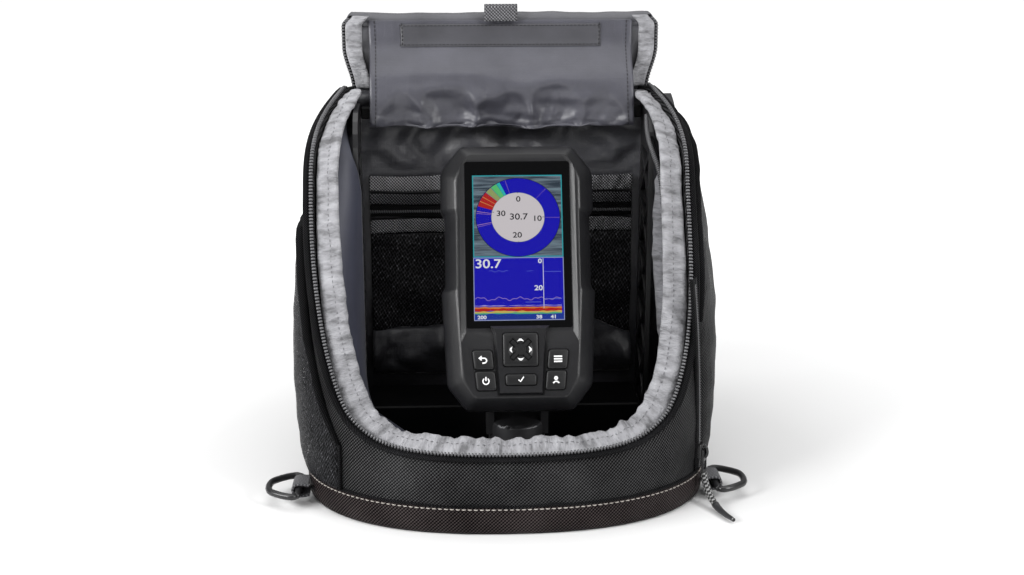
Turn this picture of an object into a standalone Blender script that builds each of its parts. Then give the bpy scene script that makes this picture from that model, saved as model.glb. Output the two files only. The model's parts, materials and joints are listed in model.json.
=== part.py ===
"""Portable fish finder: a sonar display on a swivel mount, inside a carrying frame and a soft bag.

Frame: +Z up, the front faces -Y, the origin is under the middle of the bag on the ground.
Every size below is in millimetres; mesh helpers turn them into metres.
"""

import math

import bmesh
import bpy
from mathutils import Matrix, Vector

MM = 0.001
GAP = 0.35                      # clearance between pieces that touch

# ---------------------------------------------------------------- bag
HALF_WIDTH = 130.0              # of the bag at the ground
FRONT_DEPTH = 90.0              # from the side's straight run to the front of the curve
PLAN_POWER = 2.3                # a little squarer than an ellipse
BACK_Y = 75.0                   # inner face of the back panel
WALL = 5.0                      # padded fabric
BOOT_HEIGHT = 20.0
BACK_HEIGHT = 253.0
# Side view of the opening's edge, as (y, z), from the hinge down to the front
OPENING_EDGE = [(75, 253.5), (50, 247), (30, 236), (5, 215), (-15, 172), (-31, 134),
                (-45, 100), (-58, 72), (-70, 58), (-80, 51.5), (-90, 49.5)]
FRONT_PANEL_FROM = 44.0         # degrees round the plan where the front panel begins
ZIP_TAPE = 6.0                  # how far the zip stands over the panel edge
TRIM_WIDTH = 13.5
TRIM_LEAN = math.radians(60)

# ---------------------------------------------------------------- lid
LID_HINGE = (78.0, 257.0)       # (y, z) of the seam that the lid turns on
LID_FOLD = (83.0, 300.0)        # (y, z) of the fold at the lid's top, lid open
LID_HALF_WIDTH = 101.0
LID_CLOSES = math.radians(90)   # the upper panel's turn
FOLD_CLOSES = math.radians(217)  # the front panel's turn against the upper panel
LID_BULGE = 17.5
LID_THICK = 5.0

# ---------------------------------------------------------------- mount and display
PIVOT = Vector((7.3, -3.1, 71.0))  # tilt axis meets swivel axis, a little right of the middle
TILT_BACK = math.radians(24)
HEAD_HALF = 49.0
HEAD_BOTTOM, HEAD_TOP = -23.5, 147.0   # along the display's own up, from the pivot
FACE_Y, PARTING_Y, BACK_OF_HEAD_Y = -56.0, -38.0, -13.0
FACE_WALL = 3.0
SHELL = 2.5
KEY_STANDS = 1.5
KEY_TRAVEL = 0.8
RING_Y, RING_Z = -31.5, 10.0
DECK_TOP = 8.0


# ================================================================ helpers
def material(name, colour, roughness, metallic=0.0):
    made = bpy.data.materials.get(name)
    if made:
        return made
    made = bpy.data.materials.new(name)
    made.use_nodes = True
    shader = made.node_tree.nodes["Principled BSDF"]
    shader.inputs["Base Color"].default_value = (*colour, 1)
    shader.inputs["Roughness"].default_value = roughness
    shader.inputs["Metallic"].default_value = metallic
    return made


BLACK_NYLON = material("black_nylon", (0.03, 0.03, 0.032), 0.8)
BOOT_NYLON = material("boot_nylon", (0.05, 0.04, 0.04), 0.8)
GREY_LINING = material("grey_lining", (0.2, 0.2, 0.22), 0.6)
PALE_TRIM = material("pale_trim", (0.5, 0.5, 0.52), 0.7)
GREY_WEBBING = material("grey_webbing", (0.3, 0.3, 0.31), 0.8)
ZIP_BLACK = material("zip_black", (0.02, 0.02, 0.02), 0.4)
FRAME_PLASTIC = material("frame_plastic", (0.02, 0.02, 0.02), 0.4)
CASE_PLASTIC = material("case_plastic", (0.06, 0.06, 0.065), 0.5)
KEY_RUBBER = material("key_rubber", (0.04, 0.04, 0.045), 0.6)
GLASS = material("glass", (0.01, 0.01, 0.012), 0.05)
LCD = material("lcd", (0.05, 0.05, 0.4), 0.3)
BOARD_GREEN = material("board_green", (0.02, 0.15, 0.05), 0.5)
SEAL_RUBBER = material("seal_rubber", (0.1, 0.1, 0.1), 0.7)
STEEL = material("steel", (0.6, 0.6, 0.6), 0.3, 1.0)
BATTERY_BLACK = material("battery_black", (0.03, 0.03, 0.035), 0.5)
BRASS = material("brass", (0.7, 0.55, 0.25), 0.3, 1.0)


def new_object(name, bm, mat, parent=None, smooth=None):
    """Turns a bmesh in millimetres into an object in metres."""
    bmesh.ops.recalc_face_normals(bm, faces=bm.faces)
    bm.transform(Matrix.Scale(MM, 4))
    mesh = bpy.data.meshes.new(name)
    bm.to_mesh(mesh)
    bm.free()
    mesh.materials.append(mat)
    obj = bpy.data.objects.new(name, mesh)
    bpy.context.scene.collection.objects.link(obj)
    obj.parent = parent
    if smooth:
        mesh.shade_smooth()
        mesh.set_sharp_from_angle(angle=math.radians(smooth))
    return obj


def new_empty(name, place, matrix=None, parent=None):
    empty = bpy.data.objects.new(name, None)
    bpy.context.scene.collection.objects.link(empty)
    empty.parent = parent
    empty.matrix_local = Matrix.Translation(Vector(place) * MM) @ (matrix or Matrix.Identity(4))
    return empty


def box(bm, low, high):
    """Adds a box between two corners."""
    size = [h - l for l, h in zip(low, high)]
    centre = [(h + l) / 2 for l, h in zip(low, high)]
    matrix = Matrix.Translation(centre) @ Matrix.Diagonal((*size, 1))
    return bmesh.ops.create_cube(bm, size=1, matrix=matrix)


def cylinder(bm, start, end, radius, sides=24, radius_end=None):
    """Adds a cylinder or cone between two points."""
    start, end = Vector(start), Vector(end)
    run = end - start
    turn = run.to_track_quat("Z", "Y").to_matrix().to_4x4()
    matrix = Matrix.Translation((start + end) / 2) @ turn
    far = radius if radius_end is None else radius_end
    bmesh.ops.create_cone(bm, cap_ends=True, segments=sides, radius1=radius, radius2=far,
                          depth=run.length, matrix=matrix)


def loft(bm, rings, closed_path=False):
    """Skins a stack of rings that have the same number of points, with capped ends."""
    rows = [[bm.verts.new(p) for p in ring] for ring in rings]
    count = len(rows[0])
    pairs = list(zip(rows, rows[1:]))
    if closed_path:
        pairs.append((rows[-1], rows[0]))
    for a, b in pairs:
        for i in range(count):
            j = (i + 1) % count
            bm.faces.new((a[i], a[j], b[j], b[i]))
    if not closed_path:
        bm.faces.new(rows[0])
        bm.faces.new(list(reversed(rows[-1])))


def slab(bm, outer, inner):
    """Closes two grids of points, [row][column], into one solid sheet."""
    rings = []
    for row_out, row_in in zip(outer, inner):
        rings.append(list(row_out) + list(reversed(row_in)))
    loft(bm, rings)


def prism(bm, outline, place):
    """Extrudes a flat outline: place(a, b, side) gives the point for side 0 and side 1."""
    loft(bm, [[place(a, b, side) for a, b in outline] for side in (0, 1)])


def modifier_boolean(target, cutter, operation):
    """Cuts, or joins, one object with another that is then hidden."""
    made = target.modifiers.new(cutter.name, "BOOLEAN")
    made.operation = operation
    made.solver = "EXACT"
    made.object = cutter
    cutter.hide_render = True
    cutter.display_type = "WIRE"
    cutter.hide_viewport = False
    return made


def cut(target, name, build, parent=None):
    bm = bmesh.new()
    build(bm)
    modifier_boolean(target, new_object(name, bm, FRAME_PLASTIC, parent), "DIFFERENCE")


def join(target, name, build, parent=None):
    bm = bmesh.new()
    build(bm)
    modifier_boolean(target, new_object(name, bm, FRAME_PLASTIC, parent), "UNION")


def bevel(obj, width, segments=1, angle=40):
    made = obj.modifiers.new("edges", "BEVEL")
    made.width = width * MM
    made.segments = segments
    made.limit_method = "ANGLE"
    made.angle_limit = math.radians(angle)


def smooth_curve(points, t):
    """A Catmull-Rom curve through the points, t from 0 to 1."""
    spans = len(points) - 1
    at = min(max(t, 0.0), 1.0) * spans
    i = min(int(at), spans - 1)
    f = at - i
    p0, p1, p2, p3 = (Vector(points[min(max(k, 0), spans)]) for k in (i - 1, i, i + 1, i + 2))
    return 0.5 * (2 * p1 + (p2 - p0) * f + (2 * p0 - 5 * p1 + 4 * p2 - p3) * f ** 2
                  + (3 * p1 - p0 - 3 * p2 + p3) * f ** 3)


# ================================================================ the bag's surface
def half_width(z):
    """The bag narrows slightly with height, then rounds in at the shoulder."""
    shoulder = max(0.0, (z - 195.0) / 60.0)
    return HALF_WIDTH - 5.0 * min(z, 200.0) / 200.0 - 22.0 * shoulder ** 4


def edge_height(y):
    """Height of the opening's edge over a point of the plan."""
    pairs = [smooth_curve(OPENING_EDGE, i / 200) for i in range(201)]
    for a, b in zip(pairs, pairs[1:]):
        if b.x <= y <= a.x:
            share = (a.x - y) / max(a.x - b.x, 1e-6)
            return a.y + (b.y - a.y) * share
    return OPENING_EDGE[-1][1] if y < 0 else OPENING_EDGE[0][1]


def plan_point(angle):
    """Plan of the wall, with x as a share of the half width. Angles under 0 run along the straight side."""
    if angle <= 0:
        return 1.0, -angle
    c, s = math.cos(math.radians(angle)), math.sin(math.radians(angle))
    x = math.copysign(abs(c) ** (2 / PLAN_POWER), c)
    return x, -FRONT_DEPTH * s ** (2 / PLAN_POWER)


def wall_point(angle, z, depth=0.0, side=1):
    """A point of the right wall (side 1) or left wall (side -1), depth inside its outer face."""
    share, y = plan_point(angle)
    y *= (FRONT_DEPTH - depth) / FRONT_DEPTH if y < 0 else 1.0
    return Vector((side * share * (half_width(z) - depth), y, z))


def wall_grid(angles, low, high, steps, depth, side=1):
    """Grid over the wall between two heights, each a function of the plan angle."""
    grid = []
    for angle in angles:
        z0, z1 = low(angle), high(angle)
        grid.append([wall_point(angle, z0 + (z1 - z0) * k / steps, depth, side) for k in range(steps + 1)])
    return grid


def panel_top(angle):
    return edge_height(plan_point(angle)[1])


def edge_frame(angle, side=1):
    """On the opening's edge: the point, the way into the opening along the wall, and the way outwards."""
    step = 1.0
    here, there = plan_point(angle - step), plan_point(angle + step)
    before = wall_point(angle - step, edge_height(here[1]), 0, side)
    after = wall_point(angle + step, edge_height(there[1]), 0, side)
    tangent = (after - before).normalized()
    z = panel_top(angle)
    level = wall_point(angle + step, z, 0, side) - wall_point(angle - step, z, 0, side)
    outward = level.cross(Vector((0, 0, 1))).normalized() * -side
    inward_edge = tangent.cross(outward).normalized()
    if inward_edge.z < 0:
        inward_edge = -inward_edge
    return wall_point(angle, z, 0, side), inward_edge, outward


def edge_angles(start, fine=4.0):
    """Plan angles from the straight side, at y = start, to the middle of the front."""
    straight = [-start * (1 - k / 6) for k in range(6)]
    curved = [fine * k for k in range(int(90 / fine) + 1)]
    if curved[-1] < 90:
        curved.append(90.0)
    return straight + curved


def edge_path(start, fine=4.0):
    """Frames along the whole edge, from the right hinge end round the front to the left one."""
    angles = edge_angles(start, fine)
    right = [edge_frame(a, 1) for a in angles]
    left = [edge_frame(a, -1) for a in reversed(angles[:-1])]
    return right + left


# ================================================================ bag pieces
def make_boot():
    def outline(grow):
        angles = [6.0 * k for k in range(31)]
        wide, deep = HALF_WIDTH + grow, FRONT_DEPTH + grow
        points = []
        for angle in angles:
            share, y = plan_point(min(angle, 180 - angle))
            x = share * wide * (1 if angle <= 90 else -1)
            points.append((x, y * deep / FRONT_DEPTH))
        back = BACK_Y + WALL + grow + 0.5
        return points + [(-wide, back - 14), (-wide + 14, back), (wide - 14, back), (wide, back - 14)]

    bm = bmesh.new()
    outer, inner = outline(1.0), outline(-WALL)
    rings = [[(x, y, 0) for x, y in outer], [(x, y, BOOT_HEIGHT) for x, y in outer],
             [(x, y, BOOT_HEIGHT) for x, y in inner], [(x, y, 4) for x, y in inner]]
    loft(bm, rings)
    new_object("base_boot", bm, BOOT_NYLON, smooth=40)


def make_wall_panels():
    floor_line = BOOT_HEIGHT + GAP
    side_angles = [-74.0, -50, -30, -12, 0, 8, 14, 20, 26, 32, 38, FRONT_PANEL_FROM - 0.2]
    for side, name in ((1, "side_panel_right"), (-1, "side_panel_left")):
        bm = bmesh.new()
        grids = [wall_grid(side_angles, lambda a: floor_line, panel_top, 8, d, side) for d in (0, WALL)]
        slab(bm, *grids)
        new_object(name, bm, BLACK_NYLON, smooth=40)

    half = [FRONT_PANEL_FROM + (90 - FRONT_PANEL_FROM) * k / 7 for k in range(8)]
    bm = bmesh.new()
    grids = []
    for depth in (0, WALL):
        right = wall_grid(half, lambda a: floor_line, panel_top, 2, depth, 1)
        left = wall_grid(half[:-1], lambda a: floor_line, panel_top, 2, depth, -1)
        grids.append(right + list(reversed(left)))
    slab(bm, *grids)
    new_object("front_panel", bm, BLACK_NYLON, smooth=40)

    heights = [floor_line, 100, 190, 215, 230, 240, 247, BACK_HEIGHT]
    bm = bmesh.new()
    near, far = BACK_Y + GAP, BACK_Y + WALL
    rings = [[(-half_width(z), near, z), (half_width(z), near, z),
              (half_width(z) - 3, far, z), (3 - half_width(z), far, z)] for z in heights]
    loft(bm, rings)
    new_object("back_panel", bm, BLACK_NYLON)


def sweep_section(bm, frames, section):
    """Sweeps a section along edge frames: section(i, n) gives (into opening, outwards) pairs."""
    rings = []
    for i, (point, inward, outward) in enumerate(frames):
        rings.append([point + inward * a + outward * b for a, b in section(i, len(frames))])
    loft(bm, rings)


def make_zip_and_trim():
    frames = edge_path(44.0, 6.0)
    bm = bmesh.new()
    low, high = 0.8, ZIP_TAPE
    sweep_section(bm, frames, lambda i, n: [(low, -1.6), (low, -3.8), (high, -3.8), (high, -1.6)])
    new_object("opening_zip", bm, ZIP_BLACK, smooth=40)

    frames = edge_path(40.0, 6.0)

    def trim(i, n):
        start = min(i, n - 1 - i)
        grow = min(1.0, 0.35 + start / 7)
        reach, thick = TRIM_WIDTH * grow, 2.2
        tip = (1 + reach * math.cos(TRIM_LEAN), -7.4 - reach * math.sin(TRIM_LEAN))
        return [(1, -6.4), (-2.5, -8.6), (tip[0] - thick, tip[1] - thick), (tip[0] + 1, tip[1] + 0.6)]

    bm = bmesh.new()
    sweep_section(bm, frames, trim)
    new_object("opening_trim", bm, PALE_TRIM, smooth=40)


def bulged_patch(name, angles, low, high, side, bulge, mat):
    """A pocket sewn on the outside of a wall, fullest in its middle."""
    steps = 6
    inner, outer = [], []
    for i, angle in enumerate(angles):
        z0, z1 = low, high(angle)
        rows = [z0 + (z1 - z0) * k / steps for k in range(steps + 1)]
        u = i / (len(angles) - 1)
        inner.append([wall_point(angle, z, -GAP, side) for z in rows])
        outer.append([wall_point(angle, z, -GAP - 1.2 - bulge * (math.sin(math.pi * u)
                      * math.sin(math.pi * min(1.0, 1.12 * k / steps)) ** 0.6 if 0 < k < steps else 0), side)
                      for k, z in enumerate(rows)])
    bm = bmesh.new()
    slab(bm, outer, inner)
    new_object(name, bm, mat, smooth=50)


def make_side_pockets():
    def under_edge(drop):
        return lambda angle: min(175.0, max(40.0, panel_top(angle) - drop))
    bulged_patch("mesh_pocket", [-60.0, -30, 0, 8, 14, 20, 26, 32, 38], 22.0, under_edge(22), -1, 9.0,
                 BLACK_NYLON)
    bulged_patch("side_pocket", [-60.0, -40, -20, 0, 8, 14, 20], 24.0, under_edge(30), 1, 7.0, BLACK_NYLON)
    # its zip runs up the wall in front of it
    at, half = 23.0, 3.0
    rows = [30 + 20 * k for k in range(6)]
    bm = bmesh.new()
    outer = [[wall_point(a, z, -2.4) for z in rows] for a in (at - half + 0.5, at + half - 0.5)]
    inner = [[wall_point(a, z, -GAP) for z in rows] for a in (at - half, at + half)]
    slab(bm, outer, inner)
    new_object("side_pocket_zip", bm, ZIP_BLACK)


def slider_frame(angle, z, side=1):
    """Matrix whose x points outwards from the wall, z up, at the wall's surface."""
    point = wall_point(angle, z, 0, side)
    level = wall_point(angle + 1, z, 0, side) - wall_point(angle - 1, z, 0, side)
    outward = level.cross(Vector((0, 0, 1))).normalized()
    if outward.x * side < 0:
        outward = -outward
    along = Vector((0, 0, 1)).cross(outward)
    turn = Matrix((outward, along, (0, 0, 1))).transposed().to_4x4()
    return Matrix.Translation(point * MM) @ turn


def make_side_slider():
    spot = new_empty("side_slider_at", (0, 0, 0), slider_frame(23.0, 34.0))
    bm = bmesh.new()
    box(bm, (2.8, -3.4, -5), (6.2, 3.4, 5))
    slider = new_object("side_zip_slider", bm, STEEL, spot)
    bevel(slider, 0.7)
    bm = bmesh.new()
    box(bm, (6.6, -3.0, -14), (8.2, 3.0, 1.8))
    pull = new_object("side_zip_pull", bm, STEEL, spot)
    cut(pull, "pull_slot", lambda b: box(b, (5, -1.6, -12), (10, 1.6, -6)), spot)


# Route of the pull's cord from the pull, down the wall and out on the ground
PULL_CORD_ROUTE = [(126.9, -43.4, 19.4), (127.1, -44.1, 17.2), (127.5, -45.2, 14.8), (128.0, -46.8, 12.6),
                   (128.6, -48.9, 10.4), (129.3, -51.4, 8.4), (130.1, -54.2, 6.6), (131.0, -57.2, 5.2),
                   (132.1, -60.3, 4.1), (133.2, -63.5, 3.3), (134.4, -66.8, 2.9), (135.7, -70.2, 2.7),
                   (137.1, -73.6, 2.6), (138.6, -76.9, 2.6), (140.1, -80.2, 2.6)]
PULL_CORD_RADIUS = 2.2


def make_pull_cord():
    curve = bpy.data.curves.new("pull_cord", "CURVE")
    curve.dimensions = "3D"
    curve.bevel_depth = PULL_CORD_RADIUS * MM
    curve.bevel_resolution = 2
    curve.use_fill_caps = True
    spline = curve.splines.new("POLY")
    count = 12
    spline.points.add(count - 1)
    for i in range(count):
        point = smooth_curve(PULL_CORD_ROUTE, i / (count - 1)) * MM
        spline.points[i].co = (*point, 1)
    curve.materials.append(GREY_WEBBING)
    obj = bpy.data.objects.new("pull_cord", curve)
    bpy.context.scene.collection.objects.link(obj)


def make_rings():
    for side, name in ((1, "right"), (-1, "left")):
        bar_x = side * 135.6
        bm = bmesh.new()
        box(bm, (131.6, RING_Y - 8, RING_Z - 4.4), (139.4, RING_Y + 8, RING_Z + 4.4))
        if side < 0:
            bm.transform(Matrix.Scale(-1, 4, (1, 0, 0)))
        tab = new_object("ring_tab_" + name, bm, GREY_WEBBING)
        cut(tab, "ring_tab_hole_" + name,
            lambda b: cylinder(b, (bar_x, RING_Y - 12, RING_Z), (bar_x, RING_Y + 12, RING_Z), 2.9, 12))

        # a rounded loop: straight bar in the tab, sides that narrow to the outer end
        corners = [(0, -17), (3, -18.5), (9, -16.5), (17, -11), (20.5, -7), (21, 0), (20.5, 7), (17, 11),
                   (9, 16.5), (3, 18.5), (0, 17), (-1.2, 14), (-1.2, 0), (-1.2, -14)]
        bm = bmesh.new()
        rings, radius, sides = [], 2.2, 8
        count = len(corners)
        for i, (x, y) in enumerate(corners):
            before, after = corners[i - 1], corners[(i + 1) % count]
            run = Vector((after[0] - before[0], after[1] - before[1], 0)).normalized()
            out = Vector((run.y, -run.x, 0))
            centre = Vector((x + 1.2, y, 0))
            rings.append([centre + out * radius * math.cos(2 * math.pi * k / sides)
                          + Vector((0, 0, radius * math.sin(2 * math.pi * k / sides))) for k in range(sides)])
        loft(bm, rings, closed_path=True)
        if side < 0:
            bm.transform(Matrix.Scale(-1, 4, (1, 0, 0)))
        axis = new_empty("ring_axis_" + name, (bar_x, RING_Y, RING_Z))
        new_object("ring_" + name, bm, FRAME_PLASTIC, axis, smooth=60)


def make_back_pocket():
    bm = bmesh.new()
    box(bm, (-90, 69, 92), (90, 73.5, 188))
    pocket = new_object("back_wall_pocket", bm, GREY_LINING)
    bevel(pocket, 2)


# ================================================================ lid
def rotate_yz(point, centre, angle):
    """Turns a point about a line along X through (y, z)."""
    y, z = point.y - centre[0], point.z - centre[1]
    c, s = math.cos(angle), math.sin(angle)
    return Vector((point.x, centre[0] + y * c - z * s, centre[1] + y * s + z * c))


def closed_fold():
    """Where the fold lies once the upper panel has come forward."""
    fold = rotate_yz(Vector((0, *LID_FOLD)), LID_HINGE, LID_CLOSES)
    return fold.y, fold.z


def lid_row(share):
    """The front panel's row, lid closed: its middle, and its right-hand end over the zip."""
    fold_y, fold_z = closed_fold()
    top, bottom = Vector((0, fold_y + 0.7, fold_z - 6)), Vector((0, -FRONT_DEPTH - 7, 57))
    along = bottom - top
    normal = Vector((0, along.z, -along.y)).normalized()
    middle = top + along * share + normal * LID_BULGE * math.sin(math.pi * share ** 0.7)
    point, inward, outward = edge_frame(-34 + 102 * share, 1)
    on_zip = point + inward * 20 - outward * 2.5
    top_end = Vector((LID_HALF_WIDTH, top.y, top.z))
    return middle, top_end.lerp(on_zip, min(1.0, share / 0.28) ** 2.2)


def make_lid():
    bm = bmesh.new()
    low, high = LID_HINGE[1] + 1.5, LID_FOLD[1] - 5
    box(bm, (-LID_HALF_WIDTH, LID_HINGE[0] - 2.5, low), (LID_HALF_WIDTH, LID_HINGE[0] + 2.5, high))
    upper = new_object("lid_upper_panel", bm, BLACK_NYLON)
    bevel(upper, 1.5)

    rows, columns = 10, 12
    outer, inner = [], []
    for i in range(rows + 1):
        middle, end = lid_row(i / rows)
        row_out, row_in = [], []
        for k in range(columns + 1):
            t = 2 * k / columns - 1
            bend = abs(t) ** 2.2
            point = Vector((t * end.x, middle.y + (end.y - middle.y) * bend,
                            middle.z + (end.z - middle.z) * bend))
            row_out.append(point)
            row_in.append(point + Vector((0, 0.84, -0.54)) * LID_THICK)
        outer.append(row_out)
        inner.append(row_in)

    def open_up(point):
        """From closed to the open rest position."""
        back = rotate_yz(point, closed_fold(), -FOLD_CLOSES)
        return rotate_yz(back, LID_HINGE, -LID_CLOSES)

    bm = bmesh.new()
    slab(bm, [[open_up(p) for p in row] for row in outer], [[open_up(p) for p in row] for row in inner])
    new_object("lid_front_panel", bm, BLACK_NYLON, smooth=50)


def make_lid_pocket():
    """A soft pocket that hangs from the lid's inside over the top of the bag."""
    front = [(69, 297.5), (65.5, 287), (58, 272), (49.5, 254), (45.5, 242), (46, 233.5)]
    back = [(73.5, 297.5), (73, 287), (68, 272), (59, 256), (53.5, 245), (51, 234)]
    bm = bmesh.new()
    rings = [[(x, y, z) for y, z in front + back[::-1]] for x in (-88, -44, 0, 44, 88)]
    loft(bm, rings)
    new_object("lid_pocket", bm, GREY_LINING, smooth=60)
    bm = bmesh.new()
    box(bm, (-11, 70.5, 299), (11, 73.5, 309))
    loop = new_object("lid_loop", bm, GREY_WEBBING)
    bevel(loop, 0.8)


# ================================================================ carrying frame and battery
def make_frame():
    bm = bmesh.new()
    outline = [(-100, 70), (-100, -15), (-68, -58), (68, -58), (100, -15), (100, 70)]
    prism(bm, outline, lambda x, y, side: (x, y, (4 + GAP, DECK_TOP)[side]))
    deck = new_object("frame_deck", bm, FRAME_PLASTIC)
    bevel(deck, 0.8)

    front, rear, low, high = 18.0, 62.0, DECK_TOP + GAP, 245.0
    rib, cells = 4.0, 6
    for side, name in ((1, "right"), (-1, "left")):
        arc = [(front + 22 - 22 * math.cos(t), high - 22 + 22 * math.sin(t))
               for t in (0, 0.4, 0.8, 1.2, math.pi / 2)]
        outline = [(rear, low), (front, low)] + arc + [(rear, high)]
        centre = side * 96.0
        bm = bmesh.new()
        prism(bm, outline, lambda y, z, s: (centre + (-1.6, 1.6)[s], y, z))
        panel = new_object("frame_side_" + name, bm, FRAME_PLASTIC)

        def crosses(b):
            """Four triangles to a cell leave an X of ribs."""
            tall = (high - 26 - low) / cells
            for cell in range(cells):
                z0, z1 = low + cell * tall, low + (cell + 1) * tall
                y0, y1 = front + rib, rear - rib
                zc, yc = (z0 + z1) / 2, (y0 + y1) / 2
                z0, z1 = z0 + rib / 2, z1 - rib / 2
                slope = 2.6
                for tri in (((y0 + slope, z0), (y1 - slope, z0), (yc, zc - slope)),
                            ((y0 + slope, z1), (yc, zc + slope), (y1 - slope, z1)),
                            ((y0, z0 + slope), (yc - slope, zc), (y0, z1 - slope)),
                            ((y1, z0 + slope), (y1, z1 - slope), (yc + slope, zc))):
                    prism(b, tri, lambda y, z, s: (centre + (-4, 4)[s], y, z))
        cut(panel, "frame_cells_" + name, crosses)

    bm = bmesh.new()
    box(bm, (-94, 57, 235), (94, 62, 243))
    bevel(new_object("frame_top_bar", bm, FRAME_PLASTIC), 0.8)


def make_battery():
    low = DECK_TOP + GAP
    bm = bmesh.new()
    box(bm, (-92, 16, low), (92, 60, 46))
    cover = new_object("battery_cover", bm, FRAME_PLASTIC)
    bevel(cover, 1.0)
    cut(cover, "battery_bay", lambda b: box(b, (-89.5, 18.5, low - 3), (89.5, 57.5, 43.5)))
    bm = bmesh.new()
    box(bm, (-55, 20, low + 0.2), (55, 56, 38))
    bevel(new_object("battery", bm, BATTERY_BLACK), 1.5)
    for x, name in ((-40, "positive"), (-20, "negative")):
        bm = bmesh.new()
        box(bm, (x - 2.4, 34, 38 + GAP), (x + 2.4, 34.8, 43.0))
        new_object("battery_tab_" + name, bm, BRASS)


# ================================================================ mount
def make_mount():
    cx, cy = PIVOT.x, PIVOT.y
    low = DECK_TOP + GAP
    bm = bmesh.new()
    ring = [(30 * math.cos(2 * math.pi * k / 40), min(30 * math.sin(2 * math.pi * k / 40), 16.5))
            for k in range(40)]
    prism(bm, ring, lambda x, y, side: (cx + x, cy + y, (low, 14.0)[side]))
    base = new_object("mount_base", bm, FRAME_PLASTIC)
    spots = [(cx + 24 * math.sin(a), cy - 24 * math.cos(a)) for a in (0, math.radians(95), math.radians(-95))]

    def holes(b):
        for x, y in spots:
            cylinder(b, (x, y, 0), (x, y, 20), 2.4, 12)
    cut(base, "mount_base_holes", holes)
    for i, (x, y) in enumerate(spots):
        bm = bmesh.new()
        cylinder(bm, (x, y, low + 0.3), (x, y, 14.6), 2.0, 12)
        screw = new_object(f"mount_screw_{i + 1}", bm, STEEL, smooth=40)
        join(screw, f"mount_screw_head_{i + 1}",
             lambda b: cylinder(b, (x, y, 14.0 + GAP), (x, y, 16.2), 4.0, 16, 2.6))

    swivel = new_empty("swivel_axis", PIVOT)
    down = -PIVOT.z
    bm = bmesh.new()
    cylinder(bm, (0, 0, 14 + GAP + down), (0, 0, 36 + down), 16, 36)
    yoke = new_object("swivel_yoke", bm, FRAME_PLASTIC, swivel, smooth=40)
    join(yoke, "yoke_plate", lambda b: box(b, (-20.5, -9, 34 + down), (20.5, 9, 40 + down)), swivel)
    for side, name in ((1, "right"), (-1, "left")):
        def ear(b):
            arc = [(9 * math.cos(math.pi * k / 10), 9 * math.sin(math.pi * k / 10)) for k in range(11)]
            outline = arc + [(-9, 37 + down), (9, 37 + down)]
            prism(b, outline, lambda y, z, s: (side * (15.3, 20.5)[s], y, z))
        join(yoke, "yoke_ear_" + name, ear, swivel)
    cut(yoke, "yoke_bore", lambda b: cylinder(b, (-30, 0, 0), (30, 0, 0), 3.15, 16), swivel)

    bm = bmesh.new()
    cylinder(bm, (-21, 0, 0), (25, 0, 0), 3.0, 16)
    bolt = new_object("tilt_bolt", bm, STEEL, swivel, smooth=40)
    join(bolt, "tilt_bolt_head", lambda b: cylinder(b, (-24.5, 0, 0), (-20.9, 0, 0), 6.0, 6), swivel)

    bm = bmesh.new()
    flutes = 36
    outline = [((10.4 + 0.6 * math.cos(9 * 2 * math.pi * k / flutes)) * math.cos(2 * math.pi * k / flutes),
                (10.4 + 0.6 * math.cos(9 * 2 * math.pi * k / flutes)) * math.sin(2 * math.pi * k / flutes))
               for k in range(flutes)]
    prism(bm, outline, lambda y, z, s: ((21.0, 33.0)[s], y, z))
    knob = new_object("tilt_knob", bm, CASE_PLASTIC, swivel, smooth=40)
    cut(knob, "tilt_knob_bore", lambda b: cylinder(b, (19, 0, 0), (28, 0, 0), 3.15, 16), swivel)
    return swivel


# ================================================================ display
def head_outline(inset, y, low=HEAD_BOTTOM, high=HEAD_TOP):
    """The case's outline, seen from the front: long octagon with a finger recess down each side."""
    wide, recess = HEAD_HALF - inset, 2.5
    ease = inset * 0.8
    right = [(36 - inset * 0.55, high - ease), (wide, 130 - inset * 0.55), (wide, 104.5),
             (wide - recess, 101.5), (wide - recess, 55), (wide, 52), (wide - 3.0, -7.5 + inset * 0.4),
             (33.5 - inset * 0.5, low + ease)]
    left = [(-x, z) for x, z in reversed(right)]
    return [(x, y, z) for x, z in right + left]


WINDOW = (30.0, 27.8, 135.5)     # half width, low and high of the glass, in the display's frame
KEYS = {                          # centre x, centre z, width, height, lean
    "direction_pad": (0.0, 14.0, 22.0, 21.0, 0.0),
    "select_key": (0.0, -4.8, 19.5, 7.0, 0.0),
    "back_key": (-23.4, 8.0, 12.6, 12.2, 1.2),
    "power_key": (-21.9, -5.2, 12.6, 12.2, 1.2),
    "menu_key": (23.4, 8.0, 12.6, 12.2, -1.2),
    "waypoint_key": (21.9, -5.2, 12.6, 12.2, -1.2),
}
ISLAND_RISE = 2.2
ON_ISLAND = ("direction_pad", "select_key")


def key_outline(x, z, wide, tall, lean, grow=0.0, corner=1.6):
    """A leaning key with cut corners."""
    w, h, c = wide / 2 + grow, tall / 2 + grow, corner + grow * 0.4
    flat = [(-w + c, -h), (w - c, -h), (w, -h + c), (w, h - c), (w - c, h), (-w + c, h), (-w, h - c),
            (-w, -h + c)]
    return [(x + a - lean * b / h * 0.5, z + b) for a, b in flat]


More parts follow.
